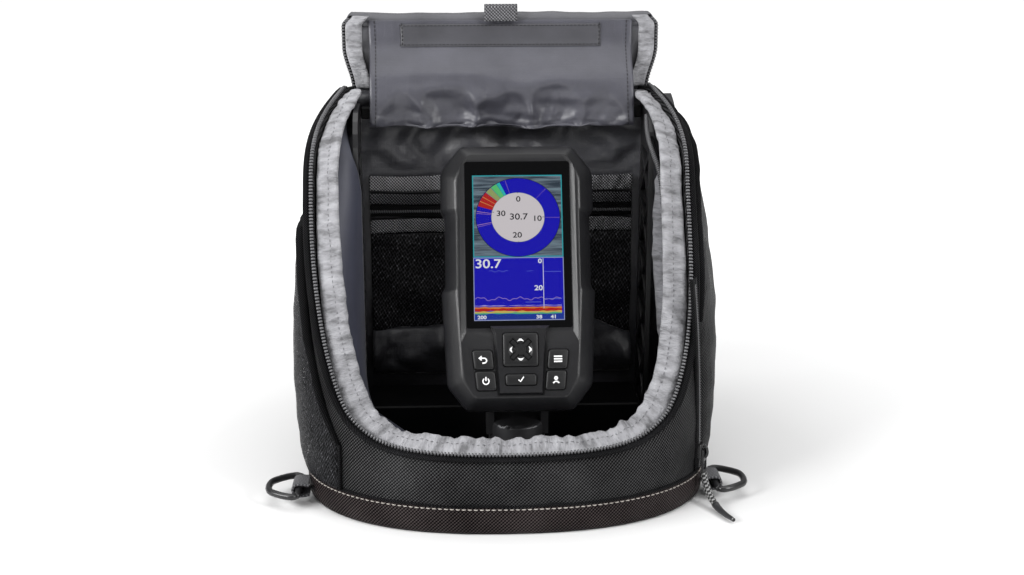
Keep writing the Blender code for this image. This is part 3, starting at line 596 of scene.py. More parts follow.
def whole_loop(step):
    """(angle, side) all the way round, from the middle of the back and back to it."""
    angles = []
    at = BACK_RUN
    while at < -step * 0.6:
        angles.append(at)
        at += step * 1.4
    angles += [90.0 * k / int(90 / step) for k in range(int(90 / step) + 1)]
    return [(a, 1) for a in angles] + [(a, -1) for a in reversed(angles[1:-1])]


def make_walls():
    """The padded outer wall: full between its seams, with soft creases and a rolled top edge."""
    def depth(share, point, seed):
        puff = 2.2 * math.sin(math.pi * min(1.0, share * 1.02)) ** 0.6 if 0 < share < 1 else 0
        crease = wobble(point, 26.0, 1.6, seed) + wobble(point, 11.0, 0.5, seed + 3)
        return -puff - crease * min(1.0, 6 * share) * (1 - share) ** 0.5

    columns = []
    for angle, side in whole_loop(3.0):
        column = wall_rows([angle], BOOT_HEIGHT - 4, 30, depth, side, 1.0)[0]
        point = column[-1]
        out = outward_at(point, angle, point.z, side)
        column += [point - out * 0.8 + Vector((0, 0, 0.9)), point - out * 2.2 + Vector((0, 0, 1.1)),
                   point - out * 3.4 + Vector((0, 0, 0.2)), point - out * 3.8 - Vector((0, 0, 4.0))]
        columns.append(column)
    columns.append(columns[0])
    obj = sheet_piece("bag_walls", columns, NYLON, "bag", 0.9,
                      replaces=("side_panel_left", "side_panel_right", "front_panel", "back_panel"))


def boot_loop(z, grow, step=3.0):
    loop = []
    for angle, side in whole_loop(step):
        point = wall_point(angle, 0.0, -grow, side)
        loop.append(Vector((point.x, point.y, z)))
    return loop


def make_boot():
    """The stiff base band with rounded bottom, stitched top edge and a flat floor."""
    profile = [(0.0, -9.0), (0.0, -2.5), (0.5, -0.4), (2.2, 0.9), (6.0, 1.5), (12.0, 1.7), (17.0, 1.5),
               (19.2, 1.3), (20.0, 0.4), (20.0, -1.6), (16.0, -2.4)]
    loops = [boot_loop(z, grow) for z, grow in profile]
    for loop, (z, _) in zip(loops, profile):
        if 2 < z < 19:
            loop[:] = [point + Vector((point.x, point.y, 0)).normalized() * wobble(point, 18.0, 0.5, 7.0)
                       for point in loop]
    bm = bmesh.new()
    rows = [list(column) for column in zip(*loops)]
    rows.append(rows[0])
    add_grid(bm, rows)
    inner = [bm.verts.new(p) for p in loops[0]]
    bm.faces.new(inner)
    bmesh.ops.remove_doubles(bm, verts=bm.verts, dist=0.01)
    link_piece("boot_band", finish_bmesh(bm, "boot_band"), BOOT_CLOTH, "bag", ("base_boot",))
    floor = [boot_loop(4.0, -5.5), boot_loop(4.6, -60), boot_loop(4.8, -118)]
    rows = [list(column) for column in zip(*floor)]
    rows.append(rows[0])
    sheet_piece("boot_floor", rows, LINING_DARK, "bag", 0.6)

    loop = boot_loop(17.6, 1.75, 1.0)
    loop.append(loop[0])
    path = [(p, run, Vector((run.y, -run.x, 0)).normalized()) for p, run in even_path(loop, 3.7)]
    path = [(p, run, out if out.dot(Vector((p.x, p.y, 0))) > 0 else -out) for p, run, out in path]
    stitch_piece("boot_stitches", path, "bag", THREAD, length=2.7, radius=0.42)
    piping = round_rings(boot_loop(19.9, 1.3, 2.0), 1.1, 8, closed=True)
    tube_piece("boot_piping", piping, TAPE, "bag", closed_path=True)


def pocket_rows(angles, low, high, side, bulge, seed, wrinkle=0.8):
    """Columns of an outer pocket, which is fullest low down and flat at its edges."""
    made, rows = [], 26
    for i, angle in enumerate(angles):
        u = i / (len(angles) - 1)
        column = []
        for k in range(rows + 1):
            v = k / rows
            z = low + (high(angle) - low) * v
            point = wall_point(angle, z, 0, side)
            full = math.sin(math.pi * u) ** 0.7 * math.sin(math.pi * min(1.0, v * 0.93 + 0.02)) ** 0.6 \
                if 0 < u < 1 else 0.0
            lift = 2.6 + bulge * full + wobble(point, 13.0, wrinkle, seed) * min(1, 5 * full)
            column.append(point + wall_out(angle, z, side) * lift)
        made.append(column)
    return made


def pocket_high(drop):
    return lambda angle: min(175.0, max(40.0, panel_top(angle) - drop))


def border_tube(name, points, radius, mat, flat=0.6):
    return tube_piece(name, round_rings(points, radius, 8, flat=flat), mat, "bag")


def make_outer_pockets():
    angles = [-60 + 98 * k / 34 for k in range(35)]
    rows = pocket_rows(angles, 20.0, pocket_high(20), -1, 8.5, 5.0)
    sheet_piece("net_pocket", rows, NET, "bag", 0.7, replaces=("mesh_pocket",))
    border_tube("net_pocket_top", [column[-1] for column in rows], 3.0, TAPE, 0.4)
    border_tube("net_pocket_front", rows[-1], 2.4, TAPE, 0.5)
    border_tube("net_pocket_back", rows[0], 2.4, TAPE, 0.5)

    angles = [-60 + 78 * k / 26 for k in range(27)]
    rows = pocket_rows(angles, 20.0, lambda a: min(240.0, panel_top(a) - 12), 1, 13.0, 9.0, wrinkle=1.2)
    sheet_piece("flat_pocket", rows, NYLON, "bag", 0.8, replaces=("side_pocket",))
    border_tube("flat_pocket_top", [column[-1] for column in rows], 2.2, TAPE, 0.5)
    border_tube("flat_pocket_back", rows[0], 2.0, TAPE, 0.5)


SIDE_ZIP_ANGLE = 23.0


def make_side_zip():
    """Coil zip up the right wall, with its slider and pull."""
    heights = [22 + 2.5 * k for k in range(52)]
    rows = []
    for offset, lift in ((-4.6, 0.6), (-4.0, 2.2), (-1.2, 2.4), (0, 2.0), (1.2, 2.4), (4.0, 2.2),
                         (4.6, 0.6)):
        rows.append([wall_point(SIDE_ZIP_ANGLE + offset * 0.62, z, -lift - 1.4) for z in heights])
    sheet_piece("side_zip_tape", rows, TAPE, "bag", 0.5, replaces=("side_pocket_zip",))
    bm = bmesh.new()
    for k in range(150):
        z = 23 + 0.82 * k
        point = wall_point(SIDE_ZIP_ANGLE, z, -3.6)
        out = wall_out(SIDE_ZIP_ANGLE, z)
        along = Vector((0, 0, 1)).cross(out)
        side = 1 if k % 2 else -1
        add_stitch(bm, point + along * 0.5 * side, along, out, 2.8, 0.42)
    link_piece("side_zip_coil", finish_bmesh(bm, "side_zip_coil"), COIL, "bag")
    for node in ("side_zip_slider", "side_zip_pull"):
        set_material(node, ENAMEL)

    # the slider's crown and bridge
    low, high = corners("side_zip_slider")
    centre = (low + high) / 2
    out = wall_out(SIDE_ZIP_ANGLE, centre.z)
    arch = [centre + out * d + Vector((0, 0, z)) for z, d in
            ((-4, 2.2), (-3.2, 3.9), (-1, 4.7), (1, 4.7), (3.2, 3.9), (4, 2.2))]
    curve = [smooth_curve(arch, k / 14) for k in range(15)]
    tube_piece("side_slider_bridge", round_rings(curve, 1.1, 8, up=out.cross(Vector((0, 0, 1)))),
               ENAMEL, "zip_slider")


# the pull cord's route, as in the CAD
PULL_CORD_ROUTE = [(126.9, -43.4, 19.4), (127.1, -44.1, 17.2), (127.5, -45.2, 14.8), (128.0, -46.8, 12.6),
                   (128.6, -48.9, 10.4), (129.3, -51.4, 8.4), (130.1, -54.2, 6.6), (131.0, -57.2, 5.2),
                   (132.1, -60.3, 4.1), (133.2, -63.5, 3.3), (134.4, -66.8, 2.9), (135.7, -70.2, 2.7),
                   (137.1, -73.6, 2.6), (138.6, -76.9, 2.6), (140.1, -80.2, 2.6)]


def make_pull_cord():
    points = [smooth_curve(PULL_CORD_ROUTE, k / 39) for k in range(40)]
    across = Vector((0.88, -0.48, 0))

    def radius(share):
        return 2.2 if share < 0.55 else 2.2 - 0.9 * ease((share - 0.55) / 0.45)
    cord = tube_piece("pull_cord_braid", round_rings(points, radius, 12, up=across), CORD, "zip_pull",
                      ("pull_cord",))
    end = points[22:]
    sleeve = tube_piece("pull_cord_sleeve", round_rings(end, lambda s: 2.45 - 1.2 * s, 12, up=across),
                        MOUNT_BLACK, "zip_pull")


def make_zip(name, frames, body, a=6.6, b=-2.7, tape=(0.2, 6.2)):
    """A tape that stands on the edge, with moulded teeth along its top."""
    rows = []
    for point, inward, outward in frames:
        rows.append([point + inward * tape[edge] + outward * (b + lift)
                     for edge, lift in ((0, 1.0), (1, 0.5), (1, -0.5), (0, -1.0))])
    made = [sheet_piece(name + "_tape", rows, TAPE, body, 0.4)]
    bm = bmesh.new()
    line = [point + inward * a + outward * b for point, inward, outward in frames]
    _, ins, outs = zip(*frames)
    lengths = [0.0]
    for p, q in zip(line, line[1:]):
        lengths.append(lengths[-1] + (q - p).length)
    pitch, at = 2.1, 0
    for k in range(int(lengths[-1] / pitch)):
        want = (k + 0.5) * pitch
        while lengths[at + 1] < want:
            at += 1
        share = (want - lengths[at]) / (lengths[at + 1] - lengths[at])
        point = line[at].lerp(line[at + 1], share)
        out = outs[at].lerp(outs[at + 1], share).normalized()
        up = ins[at].lerp(ins[at + 1], share).normalized()
        run = (line[at + 1] - line[at]).normalized()
        rings = []
        for height, wide, long in ((-1.2, 1.1, 0.55), (-0.4, 1.35, 0.72), (0.5, 1.25, 0.66),
                                   (1.0, 0.7, 0.4)):
            rings.append([point + up * height + out * wide * x + run * long * y
                          for x, y in ((-1, -0.6), (-0.6, -1), (0.6, -1), (1, -0.6),
                                       (1, 0.6), (0.6, 1), (-0.6, 1), (-1, 0.6))])
        add_grid(bm, rings, closed=True, cap=True)
    made.append(link_piece(name + "_teeth", finish_bmesh(bm, name), TEETH, body))
    return made


def trim_rings(frames, width, thick, seed, lean=60, taper=8, start_b=-4.9, start_a=1.6):
    """A soft padded binding that leans into the opening, puckered by its stitching."""
    c, s = math.cos(math.radians(lean)), math.sin(math.radians(lean))
    rings, run = [], 0.0
    count = len(frames)
    for i, (point, inward, outward) in enumerate(frames):
        if i:
            run += (point - frames[i - 1][0]).length
        grow = ease(min(1.0, 0.35 + min(i, count - 1 - i) / taper)) if taper else 1.0
        reach = width * grow
        ring = []
        for k in range(16):
            turn = 2 * math.pi * k / 16
            along = 0.5 - 0.5 * math.cos(turn)            # 0 at the zip, 1 at the tip
            over = math.sin(turn)                          # above and below
            waist = 1 - 0.45 * math.exp(-((along - 0.45) / 0.10) ** 2)   # drawn in along the stitched line
            gather = abs(noise.noise(Vector((run / 5.0 + along * 0.9, along * 1.1, seed)))) * 5.0 - 1.1
            gather += noise.noise(Vector((run / 16.0, along * 1.5, seed + 4))) * 2.0
            full = thick * waist * abs(over) ** 0.75 * math.copysign(1, over)
            full += gather * (0.8 if over > 0 else 0.2) * abs(over) ** 0.6
            drift = (noise.noise(Vector((run / 24, 0, seed + 9))) * 3.4
                     + noise.noise(Vector((run / 7, 0, seed + 12))) * 3.0) * along
            a = start_a + (reach * along) * c + full * s + drift
            b = start_b - (reach * along) * s + full * c * 0.8
            ring.append(point + inward * a + outward * b)
        rings.append(ring)
    return rings


def make_opening():
    """The zip on the opening's edge, its black hem, and the stitched pale binding inside it."""
    frames = [edge_frame(a, side) for a, side in edge_path(60.0, 1.0)]
    zip_loop = [edge_frame(a, side) for a, side in edge_path(70.0, 1.5)]
    pieces = make_zip("opening_zip", zip_loop, "bag", a=3.0, b=-1.6, tape=(-3.0, 2.6))
    hem = [point + inward * 0.6 + outward * 1.4 for point, inward, outward in zip_loop]
    border_tube("opening_hem", hem, 2.3, TAPE, 0.55)
    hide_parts("opening_zip")
    rings = trim_rings(frames, 16.5, 2.8, 2.0, taper=14, start_a=-1.5)
    trim = tube_piece("opening_binding", rings, TRIM, "bag", ("opening_trim",))
    path = []
    for ring, after in zip(rings[4:-4], rings[5:-3]):
        top = (ring[4] + ring[5]) / 2
        if ((after[4] + after[5]) / 2 - top).length > 0.4:
            path.append((top, (ring[4] - ring[12]).normalized()))
    made, left, pitch = [], 0.0, 3.4
    for (a, out), (b, _) in zip(path, path[1:]):
        length = (b - a).length
        while left < length:
            made.append((a.lerp(b, left / length), (b - a).normalized(), out))
            left += pitch
        left -= length
    stitch_piece("binding_stitches", made, "bag", GREY_THREAD, length=2.0, radius=0.26)


# ================================================================ bag, inside
def make_side_pads():
    """Smooth padded panels from the binding to the frame's front edge, with a zip on the right one."""
    for side, name, mat, reach in ((-1, "side_pad_left", LINING_SIDE, 93.0),
                                   (1, "side_pad_right", LINING_DARK, 104.0)):
        rows = []
        for j in range(45):
            angle = -64 + 132 * j / 44
            point, inward, outward = edge_frame(angle, side)
            start = point - outward * 12 - inward * 2
            tall = ease((start.z - 195) / 50)
            end = Vector((side * (reach + 11 * tall), max(13.5, start.y + 3), start.z))
            row = []
            for k in range(19):
                u = k / 18
                spot = start.lerp(end, u)
                swell = math.sin(math.pi * u) * (5.0 - 2.0 * u) * (1 - tall)
                row.append(spot + Vector((-side * swell, -0.7 * swell, 0))
                           + Vector((0, wobble(spot, 30.0, 1.4, 17.0 + side), 0)))
            rows.append(row)
        low = rows[-1]
        for drop in (12, 26, 40):
            rows.append([Vector((p.x, p.y, max(9.0, p.z - drop))) for p in low])
        pad = sheet_piece(name, rows, mat, "bag", 1.2)

    # inner pocket zip and a turned-in edge of grey lining beside the right binding
    path = []
    for j in range(41):
        point, inward, outward = edge_frame(-40 + 46 * j / 40, 1)
        path.append(point - outward * (13 + 9 * math.sin(math.pi * (0.1 + 0.85 * j / 40))) - inward * 2.5
                    - Vector((0, 3.0, 0)))
    tube_piece("inner_zip_tape", round_rings(path, 2.6, 8, up=Vector((0, 1, 0)), flat=0.4), TAPE, "bag")
    bm = bmesh.new()
    out = Vector((-0.5, -0.85, 0)).normalized()
    for point, run in even_path(path, 1.4):
        add_stitch(bm, point + out * 2.6, run.cross(out).normalized(), out, 3.6, 0.55)
    link_piece("inner_zip_coil", finish_bmesh(bm, "inner_zip_coil"), COIL, "bag")
    rows = []
    for j in range(31):
        angle = -2 + 34 * j / 30
        point, inward, outward = edge_frame(angle, 1)
        wide = 12.0 * math.sin(math.pi * (0.08 + 0.9 * j / 30)) ** 0.7
        row = []
        for k in range(9):
            u = k / 8
            spot = point - outward * (14 + wide * u) - inward * (1 + 3 * u)
            row.append(spot + Vector((0, -1.0 - 1.5 * math.sin(math.pi * u), 0))
                       - outward * abs(wobble(spot, 9.0, 1.6, 19.0)))
        rows.append(row)
    sheet_piece("turned_lining", rows, LINING_PALE, "bag", 0.8)


def make_lining():
    """Lining on the inner walls, the side panels smooth, the back loose and creased."""
    def side_depth(share, point, seed):
        return WALL + 1.6 + wobble(point, 40.0, 1.4, seed) + 3.0 * (1 - share) ** 2

    limit = -(BACK_Y - CORNER)
    for side, name in ((-1, "lining_left"), (1, "lining_right")):
        angles = [limit + k * 3.0 for k in range(int((40 - limit) / 3.0) + 1)]
        rows = wall_rows(angles, 5.0, 18, side_depth, side, 11.0 + side, 1.0)
        sheet_piece(name, rows, LINING_DARK, "bag", 0.5)
    make_side_pads()
    front = [40 + 50 * k / 16 for k in range(17)]
    right = wall_rows(front, 5.0, 8, side_depth, 1, 4.0, 1.0)
    left = wall_rows(front[:-1], 5.0, 8, side_depth, -1, 4.0, 1.0)
    sheet_piece("lining_front", right + list(reversed(left)), LINING_DARK, "bag", 0.5)
    columns = []
    for k in range(73):
        u = 2 * k / 72 - 1
        column = []
        for j in range(61):
            z = 5 + (BACK_HEIGHT - 6) * j / 60
            x = u * (half_width(z) - 7)
            point = Vector((x, BACK_Y - 7.0, z))
            folds = (abs(wobble((x * 0.8, 0, z * 1.6), 24.0, 11.0, 21.0))
                     + abs(wobble((x, 0, z), 9.0, 2.2, 22.0)))
            column.append(point - Vector((0, min(folds, 6.5) * ease((z - 196) / 10), 0)))
        columns.append(column)
    sheet_piece("lining_back", columns, LINING_BACK, "bag", 0.5)


def back_strip(name, low, high, mat, proud, seed, wave=0.6, thick=0.8, ruffle=0.0, replaces=()):
    """A strip sewn across the inner back."""
    half = corners("back_wall_pocket")[1].x
    front = BACK_Y - 8.5 - proud
    columns = []
    for k in range(141):
        x = -half + 2 * half * k / 140
        column = []
        for j in range(13):
            z = low + (high - low) * j / 12
            bulge = proud * 0.25 * math.sin(math.pi * j / 12)
            gather = abs(wobble((x, 0, z * 0.4), 4.5, ruffle, seed + 7))
            column.append(Vector((x, front - bulge - gather - wobble((x, 0, z), 22.0, wave, seed),
                                  z + wobble((x, 0, 0), 45.0, 1.6, seed + 2))))
        columns.append(column)
    return sheet_piece(name, columns, mat, "bag", thick, replaces=replaces)


def make_back_pockets():
    low, high = corners("back_wall_pocket")
    top = high.z
    back_strip("back_band_top", top - 4, top + 6, ELASTIC, 1.8, 1.0, ruffle=3.2,
               replaces=("back_wall_pocket",))
    back_strip("back_band_middle", top - 14, top - 7, ELASTIC_DARK, 1.8, 2.0,
               ruffle=1.5)
    back_strip("back_zip_tape", top - 23, top - 15, TAPE, 2.2, 3.0)
    back_strip("back_band_low", top - 34, top - 24.5, ELASTIC, 2.0, 4.0, ruffle=3.2)
    back_strip("back_net", low.z - 10, top - 34, NET_DARK, 4.0, 5.0, wave=7.0,
               thick=0.6)
    rows = []
    for j in range(25):
        v = j / 24
        row = []
        for k in range(81):
            x = -high.x + 2 * high.x * k / 80
            z = low.z - 40 + 34 * v + wobble((x, 0, 0), 40.0, 10.0, 71.0) * v
            lump = math.sin(math.pi * v) ** 0.6 * (6 + abs(wobble((x, 0, z), 22.0, 16.0, 72.0)))
            row.append(Vector((x, BACK_Y - 12 - lump - abs(wobble((x, 0, z), 8.0, 1.5, 73.0)), z)))
        rows.append(row)
    sheet_piece("back_bunched_lining", rows, LINING_BACK, "bag", 0.6)
    bm = bmesh.new()
    for k in range(150):
        x = -high.x + 1.2 * k * 2 * high.x / 180
        point = Vector((x, BACK_Y - 11.6, top - 19))
        add_stitch(bm, point, Vector((0.25, 0, 1)).normalized(), Vector((0, -1, 0)), 2.6, 0.45)
    link_piece("back_zip_coil", finish_bmesh(bm, "back_zip_coil"), TEETH, "bag")


# ================================================================ lid
def rotate_yz(point, centre, angle):
    y, z = point.y - centre.y, point.z - centre.z
    c, s = math.cos(angle), math.sin(angle)
    return Vector((point.x, centre.y + y * c - z * s, centre.z + y * s + z * c))


LID_CLOSES = math.radians(joint("lid_lift")["range_deg"][1])
FOLD_CLOSES = math.radians(joint("lid_fold")["range_deg"][1])
CLOSED_FOLD = rotate_yz(LID_FOLD, LID_HINGE, LID_CLOSES)
LID_BULGE = 17.5


def lid_row(share):
    """As in the CAD, lid closed: the row's middle, and its right-hand end over the zip."""
    top = Vector((0, CLOSED_FOLD.y + 0.7, CLOSED_FOLD.z - 6))
    bottom = Vector((0, -FRONT_DEPTH - 7, 57))
    along = bottom - top
    normal = Vector((0, along.z, -along.y)).normalized()
    middle = top + along * share + normal * LID_BULGE * math.sin(math.pi * share ** 0.7)
    point, inward, outward = edge_frame(-34 + 102 * share, 1)
    on_zip = point + inward * 20 - outward * 2.5
    top_end = Vector((LID_HALF, top.y, top.z))
    return middle, top_end.lerp(on_zip, min(1.0, share / 0.28) ** 2.2)


def open_lid(point):
    """From where the closed lid has it to the open rest position."""
    return rotate_yz(rotate_yz(point, CLOSED_FOLD, -FOLD_CLOSES), LID_HINGE, -LID_CLOSES)


def drape_point(share, t, depth):
    """The hanging part. Its sides curl in close to the fold."""
    middle, end = lid_row(share)
    if share < 0.38:
        end = Vector((LID_HALF - 5.0, middle.y, middle.z)).lerp(end, ease((share - 0.22) / 0.16))
    bend = abs(t) ** 2.2
    point = Vector((t * end.x, middle.y + (end.y - middle.y) * bend, middle.z + (end.z - middle.z) * bend))
    return open_lid(point + Vector((0, 0.84, -0.54)) * depth)


def make_lid():
    """Upper part and hanging front part, each a lining and an outer layer that turn over the fold."""
    hinge_z, fold_z = LID_HINGE.z - 5.0, LID_FOLD.z
    columns = 56

    def half_at(z):
        return LID_HALF - 3.5 + 6.0 * ease((z - hinge_z) / 0.6 / (fold_z - hinge_z))

    def upper(y_face, seed, amount, sign):
        rows = []
        for j in range(23):
            z = hinge_z + (fold_z - 6 - hinge_z) * j / 22
            row = []
            for k in range(columns + 1):
                t = 2 * k / columns - 1
                point = Vector((t * half_at(z), y_face, z))
                push = (wobble((point.x, 0, z * 1.5), 20.0, amount, seed)
                        + wobble((point.x, 0, z), 8.0, amount * 0.3, seed))
                row.append(point + Vector((0, sign * push, 0)))
            rows.append(row)
        return rows

    def over_fold(front_y, back_y, radius):
        rows, steps = [], 10
        for j in range(steps + 1):
            turn = math.pi * j / steps
            middle, half = (front_y + back_y) / 2, (back_y - front_y) / 2
            y, z = middle - half * math.cos(turn), fold_z - 6 + radius * math.sin(turn) ** 0.8
            row = []
            for k in range(columns + 1):
                t = 2 * k / columns - 1
                lift = wobble((t * 100, j * 2, 0), 17.0, 1.0, 33.0)
                round_off = 1 - 0.035 * math.sin(turn) ** 3
                row.append(Vector((t * half_at(z) * round_off, y, z + lift * math.sin(turn))))
            rows.append(row)
        return rows

    front_y = LID_HINGE.y - 3.2
    lining = upper(front_y, 31.0, 2.0, -1)
    outer = upper(LID_HINGE.y + 1.6, 37.0, 0.7, 1)
    top_fold = over_fold(front_y, LID_FOLD.y + 6.0, 8.6)
    drape = []
    for i in range(1, 41):
        share = 0.015 + 0.985 * i / 40
        row = []
        for k in range(columns + 1):
            t = 2 * k / columns - 1
            point = drape_point(share, t, 5.0)
            push = (wobble((point.x, point.z * 1.3, 0), 34.0, 3.0, 41.0)
                    + wobble((point.x, point.z, 0), 11.0, 0.8, 42.0))
            row.append(point + Vector((0, 0.6 + abs(push) * min(1, i / 5), 0)))
        drape.append(row)

    upper_lining = sheet_piece("lid_upper_lining", lining, LINING, None, 0.6)
    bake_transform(upper_lining)
    upper_shell = sheet_piece("lid_upper_shell", outer, NYLON, None, 0.8)
    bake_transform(upper_shell)
    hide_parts("lid_upper_panel")
    drape_lining = sheet_piece("lid_drape_lining", top_fold + drape, LINING, None, 0.6)
    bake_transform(drape_lining)
    shell_rows = []
    for j in range(5):
        z = fold_z - 14 + 3.0 * j
        shell_rows.append([Vector(((2 * k / columns - 1) * half_at(z), LID_HINGE.y + 2.6 + 0.35 * j, z))
                           for k in range(columns + 1)])
    for i in range(41):
        shell_rows.append([drape_point(i / 40, 2 * k / columns - 1, 0.4) for k in range(columns + 1)])
    drape_shell = sheet_piece("lid_drape_shell", shell_rows, NYLON, None, 0.8)
    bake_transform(drape_shell)
    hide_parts("lid_front_panel")

    # binding and zip up both sides of the upper part
    for side, name in ((1, "right"), (-1, "left")):
        frames = []
        for j in range(36):
            z = hinge_z + 2 + (fold_z + 1.5 - hinge_z - 2) * j / 35
            curl = 5.0 * ease((z - fold_z + 7) / 9) ** 2
            frames.append((Vector((side * (half_at(z) + 1.0 - curl), front_y + 0.5, z)),
                           Vector((0, -1, 0)), Vector((side, 0, 0))))
        rings = trim_rings(frames, 11.0, 2.0, 50.0 + side, lean=80, taper=0, start_b=-1.0)
        trim = tube_piece("lid_binding_" + name, rings, TRIM, None)
        zips = make_zip("lid_zip_" + name, frames, None, a=-0.2, b=0.6, tape=(-2.5, -0.4))
        for piece in [trim] + zips:
            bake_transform(piece)

    # binding and zip round the edge of the hanging part
    outline = [(i / 30, 1.0) for i in range(2, 31)]
    outline += [(1.0, 1 - 2 * k / 40) for k in range(1, 40)]
    outline += [(i / 30, -1.0) for i in range(30, 1, -1)]
    points = [drape_point(share, t, 5.0) for share, t in outline]
    centre = drape_point(0.5, 0, 5.0)
    frames = []
    for i, point in enumerate(points):
        run = (points[min(i + 1, len(points) - 1)] - points[max(i - 1, 0)]).normalized()
        out = point - centre
        out = (out - run * out.dot(run)).normalized()
        face = run.cross(out).normalized()
        if face.y < 0:
            face = -face
        out = face.cross(run).normalized() * (1 if face.cross(run).dot(out) > 0 else -1)
        frames.append((point + face * 1.0, face, out))
    rings = trim_rings(frames, 13.0, 2.0, 70.0, lean=80, taper=0, start_b=-1.0)
    tube_piece("lid_drape_binding", rings, TRIM, "lid_front")
    make_zip("lid_drape_zip", frames, "lid_front", a=-0.4, b=0.8, tape=(-2.5, -0.6))


# hollows between the flap's hanging folds: centre, half width, depth, and how far down
SCALLOPS = [(-66, 18, 8.5, 0.78), (-34, 20, 10.0, 0.74), (2, 21, 10.5, 0.78), (36, 18, 9.5, 0.73),
            (66, 18, 8.0, 0.77)]


def flap_point(t, s):
    """The hanging pocket: t across from -1 to 1, s from its sewn top to its curled bottom."""
    profile = [(72.5, 298.5), (71.0, 291), (68.5, 282.5), (61.5, 273), (53.0, 264), (48.5, 253), (46.5, 242),
               (45.5, 235.0), (48.0, 231.5), (52.5, 233.0)]
    at = smooth_curve([Vector((y, z, 0)) for y, z in profile], s)
    half = corners("lid_pocket")[1].x + 0.4
    full = 1 - abs(t) ** 3
    x = t * half * (1 - 0.012 * math.sin(math.pi * s))
    swag = 2.0 * math.exp(-((s - 0.40) / 0.12) ** 2) * full
    hang = ease((s - 0.4) / 0.35)
    warp = t * half + wobble((x, s * 60, 0), 20.0, 9.0, 60.0)
    hollows = 0.0
    for centre, width, size, down in SCALLOPS:
        r = ((warp - centre) / width) ** 2 + ((s - down) / 0.24) ** 2
        hollows += size * max(0.0, 1 - r) ** 1.1
    creases = (abs(wobble((x, s * 70, 0), 14.0, 3.4, 61.0)) * hang
               + abs(wobble((x, s * 70, 0), 6.5, 1.4, 62.0)) * hang)
    across = wobble((x * 0.3, s * 120, 0), 9.0, 2.6, 63.0) * math.exp(-((s - 0.55) / 0.2) ** 2) * full
    y = at.x - (swag - hollows + creases + across) * (0.45 + 0.55 * full) + 1.5
    z = at.y - (1.6 * full + wobble((x, 0, 0), 30.0, 2.4, 64.0)) * hang
    return Vector((x, y, z))


def make_flap():
    """The hanging fabric pocket with its sewn strip and hems, and the webbing loop above it."""
    rows = [[flap_point(2 * k / 110 - 1, j / 60) for k in range(111)] for j in range(61)]
    flap = sheet_piece("lid_flap", rows, FLAP, None, 0.5, replaces=("lid_pocket",))
    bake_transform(flap)

    # backing strip, sewn round in a long rectangle
    low, high = 0.045, 0.235
    left, right = -0.76, 0.76


    def across_at(s, proud):
        return [flap_point(left + (right - left) * k / 60, s) - Vector((0, proud, 0)) for k in range(61)]

    strip = [across_at(low + (high - low) * j / 8, 0.7) for j in range(9)]
    band = sheet_piece("flap_strip", strip, FLAP_STRIP, None, 0.5)
    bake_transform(band)
    out = Vector((0, -0.86, 0.5))
    lines = []
    for s in (low + 0.015, high - 0.015):
        lines += stitched_line(across_at(s, 1.1), out, 2.6)
    for t in (left + 0.01, right - 0.01):
        ends = [flap_point(t, low + (high - low) * k / 8) - Vector((0, 1.1, 0)) for k in range(9)]
        lines += stitched_line(ends, out, 2.6)
    stitches = stitch_piece("flap_stitches", lines, None, DARK_THREAD, length=2.0,
                            radius=0.26)
    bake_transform(stitches)
    for t, name in ((-0.955, "left"), (0.955, "right")):
        line = stitched_line([flap_point(t, k / 40) - Vector((0, 0.5, 0)) for k in range(1, 38)], out, 2.8)
        hem = stitch_piece("flap_hem_" + name, line, None, DARK_THREAD, length=2.0,
                           radius=0.26)
        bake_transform(hem)

    loop_low, loop_high = corners("lid_loop")
    half, y = loop_high.x, (loop_low.y + loop_high.y) / 2
    base, top = loop_low.z - 1, loop_high.z
    profile = [(y - 1.4, base), (y - 1.5, base + 9), (y - 1.2, top - 3), (y, top - 0.4),
               (y + 1.6, top - 3), (y + 2.4, base + 9), (y + 2.6, base)]
    rows = []
    for k in range(25):
        at = smooth_curve([Vector((a, b, 0)) for a, b in profile], k / 24)
        rows.append([Vector((x, at.x, at.y)) for x in [-half + 2 * half * i / 10 for i in range(11)]])
    sheet_piece("webbing_loop", rows, WEBBING, "lid_upper", 1.2, replaces=("lid_loop",))


